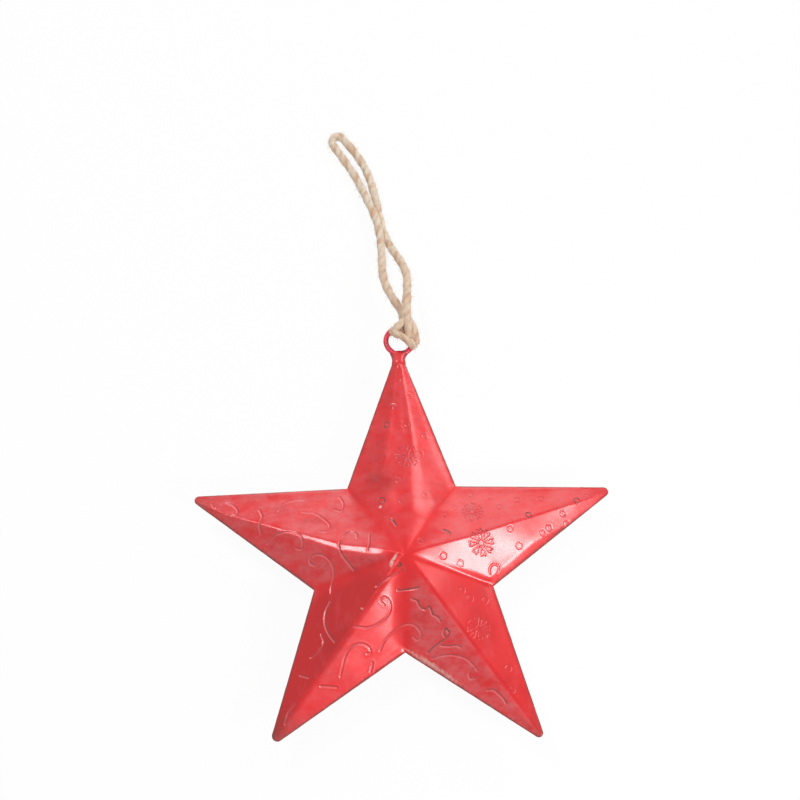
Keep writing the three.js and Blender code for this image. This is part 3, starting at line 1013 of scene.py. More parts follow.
    def near(self, places: np.ndarray, flip: float) -> np.ndarray:
        """Says which places lie close enough to a stamped line to need a fine mesh."""
        cell, half = 0.25, 360
        marked = np.zeros((2 * half, 2 * half), bool)
        spots = [(x, y, self.flower_radius + self.stamp_margin) for x, y, _ in self.flowers]
        spots += [(x, y, self.ring_radius + self.stamp_margin) for x, y, _ in self.rings]
        for _, scroll in self.scrolls:
            spots += [(x, y, self.scroll_margin) for x, y in route_through(scroll, 0.5)]
        for x, y, reach in spots:
            n = math.ceil(reach / cell)
            i, j = round(x * flip / cell) + half, round(y / cell) + half
            dx, dy = np.meshgrid(range(-n, n + 1), range(-n, n + 1), indexing="ij")
            marked[i - n : i + n + 1, j - n : j + n + 1] |= dx**2 + dy**2 <= n * n
        i, j = np.clip(np.round(places / cell).astype(int) + half, 0, 2 * half - 1).T
        return marked[i, j]


@dataclass(frozen=True)
class Mark:
    """A ragged spot on the finish, longer one way than the other."""

    x: float
    y: float
    long: float
    wide: float
    turn_degrees: float = 0.0
    strength: float = 1.0
    spread: float = 1.25
    feather: float = 0.55
    edge_waves: tuple[int, int] = (3, 5)
    edge_shares: Point2 = (0.16, 0.1)

    def shade(self, places: np.ndarray) -> np.ndarray:
        """Shades places from the spot's strength in its middle to 0 outside its wandering edge."""
        turn = math.radians(self.turn_degrees)
        dx, dy = places[:, 0] - self.x, places[:, 1] - self.y
        u = (dx * math.cos(turn) + dy * math.sin(turn)) / (0.5 * self.long)
        v = (dy * math.cos(turn) - dx * math.sin(turn)) / (0.5 * self.wide)
        angle = np.arctan2(v, u)
        edge = 1.0
        for waves, share, start in zip(self.edge_waves, self.edge_shares, (self.x, 2 * self.y)):
            edge = edge + share * np.sin(waves * angle + start)
        return self.strength * falling(np.hypot(u, v), self.spread * edge, self.feather)


class Side(Enum):
    """Which of the two shells."""

    FRONT = 1
    BACK = -1


@dataclass(frozen=True)
class Stamping:
    """The lines stamped into a shell: how wide, deep and dark they are, with a painted shade on one wall and
    a painted highlight on the other.

    The flowers and rings are fine lines. A pair by ink holds the share at no ink and what full ink adds.
    """

    side: Side
    ornament: Ornament
    fine_width: float = 0.26
    fine_depth: float = 0.13
    fine_spread: float = 1.3
    scroll_width: float = 0.54
    scroll_depth: float = 0.24
    scroll_spread: float = 0.7
    depth_by_ink: Point2 = (0.4, 0.7)
    spread_by_ink: Point2 = (0.62, 0.6)
    lip: float = 0.16
    lip_reach: float = 2.1
    # the ink is read this far to one side, so that it lies on one wall of a line as a painted shade, and the
    # painted highlight as far to the other
    ink_lean: float = 0.2
    ink_core: float = 0.15
    glint_reach: Point2 = (0.2, 0.75)
    glint_share: float = 0.26

    def struck_lines(self, t: GrowingTree, shapes: dict[str, Link]) -> Link:
        """Sets the flowers and rings down at their places, each with its own turn and size."""
        size = t.attribute("size")
        turned, sized = t.vector(z=t.attribute("turn")), t.vector(size, size, size)
        struck = t.add("GeometryNodeJoinGeometry")
        for stamp in ("Flower", "Ring"):
            inputs = {"Points": shapes[f"{stamp} places"], "Instance": shapes[f"{stamp} die"]}
            placed = t.result("GeometryNodeInstanceOnPoints", {**inputs, "Rotation": turned, "Scale": sized})
            t.tree.links.new(placed, struck.inputs[0])
        return t.result("GeometryNodeRealizeInstances", {"Geometry": struck.outputs[0]})

    def engraving(
        self,
        t: GrowingTree,
        lines: Link,
        flat: Link,
        sizes: dict[str, Link],
        kind: str,
    ) -> tuple[Link, Link, Link]:
        """Works out what a set of lines does to the plate.

        Args:
            t: The tree that stamps the plate.
            lines: The lines, level with the outline.
            flat: A point's place, level with the outline.
            sizes: The tree's inputs for the widths, depths and spreads.
            kind: Which of them the lines take.

        Returns:
            How deep a point sinks, how dark its ink and painted shade are there, and how strong the painted
            highlight on the groove's other wall is.
        """
        width = sizes[f"{kind}_width"]
        nearest = t.result("GeometryNodeSampleNearest", {"Geometry": lines, "Sample Position": flat})
        inputs = {"Geometry": lines, 1: t.attribute("ink"), "Index": nearest}
        ink = t.result("GeometryNodeSampleIndex", inputs, data_type="FLOAT")
        away = t.calc("DIVIDE", t.distance_to(lines, flat), width)
        groove = t.span(away, 0.0, 1.0, 1.0, 0.0)
        raised = t.times(t.span(away, 1.0, self.lip_reach, 1.0, 0.0), t.calc("SUBTRACT", 1.0, groove))
        sunk = t.calc("SUBTRACT", groove, t.times(raised, sizes["lip_share"]))
        sink = t.times(sunk, t.times(sizes[f"{kind}_depth"], t.ramp(ink, *self.depth_by_ink)))
        lean = sizes["ink_lean"]
        # read from one side for the ink's painted shade and from the other for the painted highlight
        sides = []
        for way in (lean, t.times(lean, -1.0)):
            aside = t.vector(t.times(way, float(self.side.value)), way)
            seen_from = t.result("ShaderNodeVectorMath", {0: flat, 1: aside}, operation="SUBTRACT")
            sides.append(t.calc("DIVIDE", t.distance_to(lines, seen_from), width))
        spread = t.times(sizes[f"{kind}_spread"], t.ramp(ink, *self.spread_by_ink))
        shade = t.span(sides[0], self.ink_core, spread, 1.0, 0.0)
        glint = t.times(t.span(sides[1], *self.glint_reach, 1.0, 0.0), t.calc("SUBTRACT", 1.0, shade))
        return sink, t.times(shade, ink), glint

    def stamp(self, plate: Piece, finish: Material) -> Piece:
        """Stamps the flowers, rings and scrolls into the plate with a geometry node tree."""
        flip = float(self.side.value)
        dies = {
            "Flower places": self.ornament.places("flower_places", self.ornament.flowers, flip),
            "Flower die": self.ornament.flower_die(),
            "Ring places": self.ornament.places("ring_places", self.ornament.rings, flip),
            "Ring die": self.ornament.ring_die(),
            "Scroll lines": self.ornament.scroll_lines(flip),
        }
        t = GrowingTree("stamped_lines")
        shapes = {name: t.geometry_of(t.input(name, SocketKind.PIECE, die)) for name, die in dies.items()}
        sizes = t.sizes(
            fine_width=self.fine_width * MM,
            fine_depth=self.fine_depth * MM,
            fine_spread=self.fine_spread,
            scroll_width=self.scroll_width * MM,
            scroll_depth=self.scroll_depth * MM,
            scroll_spread=self.scroll_spread,
            lip_share=self.lip,
            inward=-flip,
            ink_lean=self.ink_lean * MM,
        )
        coat = t.input("Finish", SocketKind.FINISH, finish)
        where = t.add("ShaderNodeSeparateXYZ", {0: t.result("GeometryNodeInputPosition")})
        flat = t.vector(where.outputs[0], where.outputs[1])
        press = t.attribute("press")
        struck_sink, struck_ink, _ = self.engraving(t, self.struck_lines(t, shapes), flat, sizes, "fine")
        sink, ink, glint = self.engraving(t, shapes["Scroll lines"], flat, sizes, "scroll")
        sink = t.times(t.calc("ADD", struck_sink, sink), t.times(press, sizes["inward"]))
        inputs = {"Geometry": t.start.outputs[0], "Offset": t.vector(z=sink)}
        marked = t.result("GeometryNodeSetPosition", inputs)
        # the stamp holds the ink with its painted shade, the glint the painted highlight
        dark, lit = t.calc("MAXIMUM", struck_ink, ink), t.times(glint, self.glint_share)
        for name, shade in (("stamp", dark), ("glint", lit)):
            inputs = {"Geometry": marked, "Name": name, "Value": t.times(shade, press)}
            marked = t.result("GeometryNodeStoreNamedAttribute", inputs, data_type="FLOAT", domain="POINT")
        shell = t.run(plate, marked, coat)
        for die in dies.values():
            bpy.data.objects.remove(die)
        return shell


@dataclass
class StarShell:
    """One pressed and stamped shell: ten facets with soft folds, stamped lines, and a wall of tin.

    What is given for each arm starts with the hanging one and goes on anticlockwise, and a pair of facets
    starts with the clockwise one. A negative lift makes the band along the rim steeper. The painted sheen by
    facet lays a paler colour, and where it is negative it lays the deeper colour as painted shade. A fade
    holds where it starts and how many millimetres it takes.
    """

    side: Side
    rim_height: float
    peak_shift: Point2 = (0.0, 0.0)
    shift_rounds: int = 4
    plan: StarPlan = field(default_factory=StarPlan)
    ornament: Ornament = field(default_factory=Ornament)
    depth: float = 14.05
    peak_blunting: float = 0.6
    peak_margin: float = 0.35
    peak_rounding: float = 1.0
    tin: float = 0.4
    rim_steepness: float = 3.0
    rim_sharpness: float = 8.0
    ridge_drift: tuple[float, ...] = (0.0,) * 5
    drift_limit: float = 0.4
    drift_fade: Point2 = (6.0, 18.0)
    ridge_softness: tuple[float, ...] = (1.0,) * 5
    valley_softness: tuple[float, ...] = (2.4,) * 5
    soft_share_of_rim: float = 0.75
    soft_share_of_reach: float = 0.5
    ledges: tuple[float, ...] = (0.0,) * 5
    ledge_narrowest: float = 0.3
    ledge_narrowing: Point2 = (55.0, 45.0)
    ledge_end_fade: Point2 = (2.0, 6.0)
    ledge_rounding: float = 0.3
    ledge_rim_share: float = 1.15
    ledge_valley_share: float = 3.2
    band_width: float = 3.0
    least_lift: float = 0.15
    band_lifts: tuple[Point2, ...] = ((0.15, 0.15),) * 5
    band_tip_fade: Point2 = (12.0, 24.0)
    band_least_share: float = 0.12
    lift_valley_fade: float = 1.6
    steep_valley_fade: float = 2.5
    # painted sheen by facet, and painted shade where it is below 0; it fades out at the valleys and the peak
    painted_sheen_facets: tuple[Point2, ...] = ((0.0, 0.0),) * 5
    sheen_fade: tuple[float, ...] = (5.0, 5.0, 10.0, 10.0, 6.0)
    sheen_peak_gap: float = 4.0
    tip_wear: tuple[float, ...] = (0.3, 0.35, 0.85, 0.4, 0.12)
    tip_wear_fade: Point2 = (17.0, 15.0)
    tip_wear_share: float = 0.85
    worn_edge: float = 0.32
    wave_height: float = 0.09
    wave_lengths: tuple[float, ...] = (4.3, 7.1, 5.2, 6.3, 9.7, 8.2)
    wave_bends: Point2 = (1.1, 0.9)
    wave_starts: Point2 = (1.0, 0.4)
    wave_slant: float = 1.3
    long_wave_share: float = 0.6
    wave_offset: float = 11.0
    wave_rim_fade: float = 6.0
    wave_peak_fade: Point2 = (3.0, 8.0)
    fine_step: float = 0.27
    coarse_every: int = 3
    fine_ridge: float = 1.3
    fine_valley: float = 1.2
    fine_peak: float = 5.0
    fine_tip: Point2 = (12.0, 0.9)
    press_fade: float = 0.9
    # marks of bare tin, and of painted sheen where one runs along an edge
    chips_and_sheen: tuple[Mark, ...] = ()
    stains: tuple[Mark, ...] = ()
    crease_degrees: float = 60.0

    @property
    def slope(self) -> float:
        """How much a facet rises for each millimetre in from its edge."""
        return (self.depth + self.peak_blunting) / self.plan.edge_distance

    def unshifted(self, places: np.ndarray) -> np.ndarray:
        """Finds where places would lie if the peak and the ridges ran through the middle of the outline."""
        plan = self.plan
        shift = np.array(self.peak_shift)
        back = places.copy()
        for _ in range(self.shift_rounds):
            at = plan.lie(back)
            share = np.clip(at.inside / plan.edge_distance, 0, 1)
            half_width = np.maximum((plan.tip_radius - at.along) * math.tan(plan.tip_half_angle), TINY)
            limit = self.drift_limit * half_width
            drift = np.clip(np.array(self.ridge_drift)[at.arm], -limit, limit)
            drift *= rising(at.along, *self.drift_fade)
            from_rim = at.inside / (half_width * math.cos(plan.tip_half_angle))
            round_angle = plan.half_arm - np.arctan2(np.abs(at.across), at.along)
            drift *= np.clip(np.minimum(from_rim, np.sin(round_angle) / math.sin(plan.half_arm)), 0, 1)
            angle = math.pi / 2 + at.arm * 2 * plan.half_arm
            sideways = np.stack([-np.sin(angle), np.cos(angle)], 1)
            back = places - shift * share[:, None] - sideways * drift[:, None]
        return back

    def facet_rise(self, at: Lie) -> np.ndarray:
        """Works out how far the ten facets rise, with their ridges and valleys softened."""
        plan = self.plan
        turn = plan.edge_turn
        across = np.abs(at.across)
        rise = self.slope * (plan.edge_distance - at.along * math.cos(turn) - across * math.sin(turn))
        valley = np.where(at.across > 0, at.arm, (at.arm - 1) % plan.arms)
        widest = np.minimum(self.soft_share_of_rim * at.inside, self.soft_share_of_reach * at.reach)
        for gap, softness, pull in (
            (across, np.array(self.ridge_softness)[at.arm], -math.sin(turn)),
            (at.from_valley, np.array(self.valley_softness)[valley], math.sin(turn - plan.half_arm)),
        ):
            w = np.maximum(np.minimum(softness, widest), TINY)
            soft = np.where(gap < w, (gap**2 + w**2) / (2 * w), gap)
            rise += self.slope * pull * (soft - gap)
        return rise

    def band_rise(self, at: Lie) -> np.ndarray:
        """Works out how much the narrow band along the rim lifts a facet, or how much steeper it makes it."""
        plan, least = self.plan, self.least_lift
        start, over = self.band_tip_fade
        lifts = np.array(self.band_lifts)[at.arm]
        lift = np.where(at.across > 0, lifts[:, 1], lifts[:, 0])
        flat = least + np.maximum(lift - least, 0) * smooth_step(at.from_valley / self.lift_valley_fade)
        share = np.clip((plan.tip_radius - start - at.along) / over, self.band_least_share, 1)
        wide = self.band_width * share
        rise = np.maximum(flat * share, least) * np.clip(1 - at.inside / wide, 0, 1)
        to_ridge = np.maximum(plan.to_rim(at.along) - wide, 1.0)
        steep = np.maximum(-lift, 0) * share * smooth_step(at.from_valley / self.steep_valley_fade)
        return rise + steep * (np.clip(at.inside / wide, 0, 1) - np.clip((at.inside - wide) / to_ridge, 0, 1))

    def ledge_rise(self, at: Lie) -> np.ndarray:
        """Works out how much a level ledge along a ridge, on its anticlockwise side, lifts that facet."""
        plan, narrowest, edge = self.plan, self.ledge_narrowest, self.ledge_rounding
        gap, over = self.ledge_end_fade
        wide = np.array(self.ledges)[at.arm]
        wide = wide * (narrowest + (1 - narrowest) * falling(at.along, *self.ledge_narrowing))
        wide = np.maximum(wide * falling(at.along, plan.tip_radius - gap, over), TINY)
        share = np.clip(at.across / wide, 0, 1 + edge)
        share = share - np.clip(share - (1 - edge), 0, 2 * edge) ** 2 / (4 * edge)
        lift = self.slope * math.sin(plan.edge_turn) * wide * share
        lift *= np.clip(self.ledge_rim_share * at.inside / np.maximum(plan.to_rim(at.along), TINY), 0, 1)
        lift *= rising(at.along, gap, over)
        return lift * smooth_step(self.ledge_valley_share * at.from_valley / np.maximum(at.reach, TINY))

    def waves(self, places: np.ndarray) -> np.ndarray:
        """Works out the faint unevenness of the pressed tin, in crossing waves that don't repeat."""
        x, y = places[:, 0] + self.wave_offset * self.side.value, places[:, 1]
        a, b, c, d, e, f = self.wave_lengths
        (bend, second_bend), (start, second_start) = self.wave_bends, self.wave_starts
        wave = np.sin(x / a + bend * np.sin(y / b)) * np.sin(y / c + second_bend * np.sin(x / d) + start)
        long_wave = np.sin((x + y) / e + second_start) * np.cos((x - self.wave_slant * y) / f)
        return wave + self.long_wave_share * long_wave

    def height(self, places: np.ndarray) -> np.ndarray:
        """Works out how far the pressed tin stands above the rim, blunt at the peak and round at the rim."""
        at = self.plan.lie(self.unshifted(places))
        flatness = smooth_step(at.inside / self.wave_rim_fade) * rising(at.reach, *self.wave_peak_fade)
        rise = self.facet_rise(at) + self.band_rise(at) + self.ledge_rise(at)
        rise += self.wave_height * self.waves(places) * flatness
        limit = self.depth + self.peak_margin
        rise = 0.5 * (rise + limit - np.sqrt((rise - limit) ** 2 + self.peak_rounding**2))
        least, power = 1e-9, self.rim_sharpness
        rise, fall = np.maximum(rise, least), self.rim_steepness * np.maximum(at.inside, least)
        return (rise**-power + fall**-power) ** (-1 / power)

    def lattice(self) -> tuple[np.ndarray, np.ndarray]:
        """Lays points over the star, fine by stamps and folds and three times coarser elsewhere.

        Returns:
            All the points, and which of them belong to the coarse lattice.
        """
        step, every, radius = self.fine_step, self.coarse_every, self.plan.tip_radius
        reach = math.ceil(radius / step)
        tall = round(reach / math.sqrt(0.75))
        i, j = np.meshgrid(np.arange(-2 * reach, 2 * reach), np.arange(-tall, tall), indexing="ij")
        x, y = step * (i + j / 2), step * math.sqrt(0.75) * j
        grid = np.stack([x.ravel(), y.ravel()], 1)
        coarse = ((i % every == 0) & (j % every == 0)).ravel()
        close = np.hypot(grid[:, 0], grid[:, 1]) < radius
        grid, coarse = grid[close], coarse[close]
        inside = self.plan.rim_distance(grid)
        keep = inside > 0.5 * step
        grid, coarse, inside = grid[keep], coarse[keep], inside[keep]
        at = self.plan.lie(self.unshifted(grid))
        wanted = coarse | self.ornament.near(grid, self.side.value)
        wanted |= (np.abs(at.across) < self.fine_ridge) | (at.from_valley < self.fine_valley)
        wanted |= at.reach < self.fine_peak
        wanted |= (at.along > radius - self.fine_tip[0]) & (inside < self.fine_tip[1])
        return grid[wanted], coarse[wanted]

    def skin(self, rim: np.ndarray, inner: np.ndarray) -> tuple[np.ndarray, list[tuple[int, int, int]]]:
        """Meshes one skin of the shell in plan.

        Args:
            rim: The outline's points, which stay the first ones.
            inner: The points inside it.

        Returns:
            The points and the triangles, anticlockwise from above.
        """
        places = np.vstack([rim, inner])
        made = delaunay_2d_cdt([Vector(p) for p in places], [], [list(range(len(rim)))], 1, 1e-7)
        number = [source[0] for source in made[3]]
        return places, [tuple(number[v] for v in face) for face in made[2]]

    def spots(self, places: np.ndarray, marks: Sequence[Mark]) -> np.ndarray:
        """Shades all the marks, each the stronger where two meet."""
        shade = np.zeros(len(places))
        for mark in marks:
            shade = np.maximum(shade, mark.shade(places))
        return shade

    def painted_sheen_share(self, places: np.ndarray) -> np.ndarray:
        """Says how strong the painted sheen is by facet, below 0 for painted shade, with none in the valleys
        and round the peak.
        """
        at = self.plan.lie(self.unshifted(places))
        sides = np.array(self.painted_sheen_facets)[at.arm]
        thin = sides[:, 0] + (sides[:, 1] - sides[:, 0]) * rising(at.across, -0.5, 1.0)
        fade = np.array(self.sheen_fade)[at.arm]
        return thin * smooth_step(2 * at.from_valley / fade) * rising(at.reach, self.sheen_peak_gap, fade)

    def wear(self, places: np.ndarray) -> np.ndarray:
        """Shades the rim and the tips, where the finish is worn and dark."""
        at = self.plan.lie(places)
        back, over = self.tip_wear_fade
        tip = np.array(self.tip_wear)[at.arm] * rising(at.along, self.plan.tip_radius - back, over)
        return np.maximum(falling(at.inside, self.worn_edge, self.worn_edge), self.tip_wear_share * tip)

    def plate(self) -> Piece:
        """Makes the shell before it is stamped: an outer skin, an inner one and the rim between them."""
        rim_width = self.tin / math.sin(math.atan(self.slope))
        grid, coarse = self.lattice()
        outer, faces = self.skin(self.plan.outline(), grid)
        deep = coarse & (self.plan.rim_distance(grid) > rim_width + self.tin)
        inner, inner_faces = self.skin(self.plan.outline(rim_width), grid[deep])
        n, first = len(self.plan.outline()), len(outer)
        rise = self.height(outer)
        under = np.maximum(self.height(inner) - self.tin * math.hypot(1, self.slope), 0)
        rise[:n], under[:n] = 0, 0
        verts = np.vstack([np.column_stack([outer, rise]), np.column_stack([inner, under])])
        faces += [tuple(first + v for v in reversed(face)) for face in inner_faces]
        faces += [(i, first + i, first + (i + 1) % n, (i + 1) % n) for i in range(n)]
        verts[:, 2] = self.rim_height + self.side.value * verts[:, 2]
        if self.side is Side.BACK:
            faces = [tuple(reversed(face)) for face in faces]
        pressed = np.zeros(len(verts))
        pressed[:first] = smooth_step(self.plan.rim_distance(outer) / self.press_fade)
        places = verts[:, :2]
        values = {
            "press": pressed,
            "wear": self.wear(places),
            "thin": self.painted_sheen_share(places),
            "chip": self.spots(places, self.chips_and_sheen),
            "stain": self.spots(places, self.stains),
        }
        name = "front_shell_embossed" if self.side is Side.FRONT else "back_shell_embossed"
        return mesh_object(name, verts, faces, values=values)

    def build(self, finish: Material) -> Piece:
        """Presses and stamps the shell."""
        stamping = Stamping(self.side, self.ornament)
        return smoothed(stamping.stamp(self.plate(), finish), self.crease_degrees)


@dataclass
class SeamBead:
    """The bead of solder that joins the rims all round the star."""

    middle_height: float
    plan: StarPlan = field(default_factory=lambda: StarPlan(rim_step=0.7))
    inset: float = 0.86
    half_width: float = 1.0
    half_thickness: float = 0.54
    sides: int = 12
    ripple: float = 0.09
    ripple_scale: float = 320.0

    def build(self, finish: Material) -> Piece:
        """Sweeps an oval along the outline and ripples it with a geometry node tree."""
        outline = self.plan.outline(self.inset)
        n = len(outline)
        path = np.column_stack([outline, np.full(n, self.middle_height)])
        bead = mesh_object("seam_bead", path, [], [(i, (i + 1) % n) for i in range(n)])
        t = GrowingTree("solder_bead")
        sizes = t.sizes(
            half_width=self.half_width * MM,
            half_thickness=self.half_thickness * MM,
            ripple_height=self.ripple * MM,
            ripple_scale=self.ripple_scale,
        )
        coat = t.input("Finish", SocketKind.FINISH, finish)
        curve = t.result("GeometryNodeMeshToCurve", {"Mesh": t.start.outputs[0]})
        level = t.result("GeometryNodeSetCurveNormal", {"Curve": curve}, mode="Z_UP")
        oval = t.result("GeometryNodeCurvePrimitiveCircle", {"Resolution": self.sides, "Radius": 1.0})
        shape = t.vector(sizes["half_width"], sizes["half_thickness"], 1.0)
        section = t.result("GeometryNodeTransform", {"Geometry": oval, "Scale": shape})
        swept = t.result("GeometryNodeCurveToMesh", {"Curve": level, "Profile Curve": section})
        place = t.result("GeometryNodeInputPosition")
        rough = t.calc("SUBTRACT", t.noise(Grain(self.ripple_scale), place, sizes["ripple_scale"]), 0.5)
        lift = t.times(rough, t.times(sizes["ripple_height"], 2.0))
        inputs = {0: t.result("GeometryNodeInputNormal"), "Scale": lift}
        offset = t.result("ShaderNodeVectorMath", inputs, operation="SCALE")
        moved = t.result("GeometryNodeSetPosition", {"Geometry": swept, "Offset": offset})
        return smoothed(t.run(bead, moved, coat))


@dataclass
class Tube:
    """A round skin along a route, carried without twist."""

    sides: int = 20

    def frames(self, line: np.ndarray) -> tuple[np.ndarray, np.ndarray]:
        """Carries two directions square to the line along it."""
        ahead = np.gradient(line, axis=0)
        ahead /= np.linalg.norm(ahead, axis=1)[:, None]
        side = np.cross(ahead[0], (0.0, 0.0, 1.0) if abs(ahead[0][2]) < 0.9 else (1.0, 0.0, 0.0))
        sides = []
        for direction in ahead:
            side = side - direction * (side @ direction)
            side = side / np.linalg.norm(side)
            sides.append(side)
        return np.array(sides), np.cross(ahead, np.array(sides))

    def rings(self, line: np.ndarray, swell: Swell) -> list[np.ndarray]:
        """Makes the rings of points round the line.

        Args:
            line: The route.
            swell: Gives the radius round the tube, from the angles and the distance along it.

        Returns:
            One ring of points for each point of the line.
        """
        first, second = self.frames(line)
        angle = round_angles(self.sides)
        rings = []
        for place, a, b, far in zip(line, first, second, distances_along(line)):
            radius = swell(angle, far)
            u, v = (radius * np.cos(angle))[:, None], (radius * np.sin(angle))[:, None]
            rings.append(place + u * a + v * b)
        return rings


@dataclass
class HangingEye:
    """The wire eye: a stem from inside the arm, bent once round into a ring that leans to the right."""

    middle_height: float
    wire: float = 1.98
    ring_centre: Point2 = (0.5, 83.96)
    ring_radius: float = 5.05
    ring_degrees: tuple[int, int, int] = (232, -86, -12)
    stem: tuple[float, ...] = (62.3, 66.0, 70.0, 73.5, 75.6)
    neck: tuple[Point2, ...] = ((-0.35, 77.3), (-1.15, 78.6))
    foot_length: float = 1.2
    foot_fade: float = 1.6
    foot_width: float = 3.6
    foot_thickness: float = 1.3
    # where the painted shade in the crease under the ring lies, and how far it reaches
    crease_shade_spot: Point3 = (1.4, 79.2, 1.6)
    shade_fade: float = 1.0
    unevenness: float = 0.02
    uneven_rate: float = 1.7
    step: float = 0.4
    crease_degrees: float = 50.0

    def route(self) -> np.ndarray:
        """Walks up the stem, round the ring from its lower left, and back to the stem."""
        cx, cy = self.ring_centre
        walk = [*((0.0, y) for y in self.stem), *self.neck]
        for degrees in range(*self.ring_degrees):
            a = math.radians(degrees)
            walk.append((cx + self.ring_radius * math.cos(a), cy + self.ring_radius * math.sin(a)))
        return route_through([(x, y, self.middle_height) for x, y in walk], self.step)

    def drawn(self, angle: np.ndarray, far: float) -> np.ndarray:
        """Gives the radius of the wire, which isn't drawn quite evenly."""
        return self.wire / 2 * (1 + self.unevenness * np.sin(far * self.uneven_rate + 2 * angle))

    def build(self, finish: Material) -> Piece:
        """Bends the wire and flattens its foot."""
        line = self.route()
        rings = Tube().rings(line, self.drawn)
        for ring, place in zip(rings, line):
            flat = 1 - rising(place[1] - self.stem[0], self.foot_length, self.foot_fade)
            wider = 1 + flat * (self.foot_width / self.wire - 1)
            thinner = 1 + flat * (self.foot_thickness / self.wire - 1)
            ring[:, 0] *= wider
            ring[:, 2] = place[2] + (ring[:, 2] - place[2]) * thinner
        verts, faces = lofted(rings)
        # painted shade in the crease where the ring meets the solder
        x, y, reach = self.crease_shade_spot
        wear = falling(np.hypot(verts[:, 0] - x, verts[:, 1] - y), reach, self.shade_fade)
        eye = mesh_object("hanging_eye_wire", verts, faces, values={"wear": wear})
        eye.data.materials.append(finish)
        return smoothed(eye, self.crease_degrees)


@dataclass
class EyeSolder:
    """Solder drawn up round the stem from the arm's cut tip to the ring, under the same lacquer.

    Each station holds a height up the neck, and there the middle, the half width and the half depth.
    """

    middle_height: float
    stations: tuple[tuple[float, float, float, float], ...] = (
        (73.9, 0.0, 2.5, 1.25),
        (74.7, 0.0, 2.62, 1.6),
        (75.4, 0.0, 2.58, 1.72),
        (76.2, 0.0, 2.48, 1.7),
        (77.0, 0.02, 2.56, 1.62),
        (77.7, 0.06, 2.8, 1.5),
        (78.4, 0.14, 3.2, 1.35),
        (79.1, 0.24, 3.5, 1.12),
        (79.6, 0.34, 3.1, 0.8),
        (79.95, 0.44, 1.9, 0.45),
    )
    sides: int = 28
    step: float = 0.2
    lumpiness: float = 0.012
    lumps: int = 3
    lump_turn: float = 2.1
    # the neck's flanks darken from this distance out, a painted shade
    shade_from: float = 1.9
    shade_fade: float = 0.6
    darkening_share: float = 0.5
    # a painted sheen over the whole neck
    painted_sheen_share: float = 0.5

    def build(self, finish: Material) -> Piece:
        """Lofts rounded sections up the neck."""
        angle = round_angles(self.sides)
        rings = []
        for y, x, w, d in route_through(self.stations, self.step):
            lump = 1 + self.lumpiness * np.sin(self.lumps * angle + y * self.lump_turn)
            across, depth = x + w * lump * np.cos(angle), self.middle_height - d * lump * np.sin(angle)
            rings.append(np.stack([across, np.full(self.sides, y), depth], 1))
        verts, faces = lofted(rings)
        # painted shade along the neck's flanks
        painted_shade = self.darkening_share * rising(np.abs(verts[:, 0]), self.shade_from, self.shade_fade)
        values = {"wear": painted_shade, "thin": np.full(len(verts), self.painted_sheen_share)}
        fillet = mesh_object("eye_solder_fillet", verts, faces, values=values)
        fillet.data.materials.append(finish)
        return smoothed(fillet)


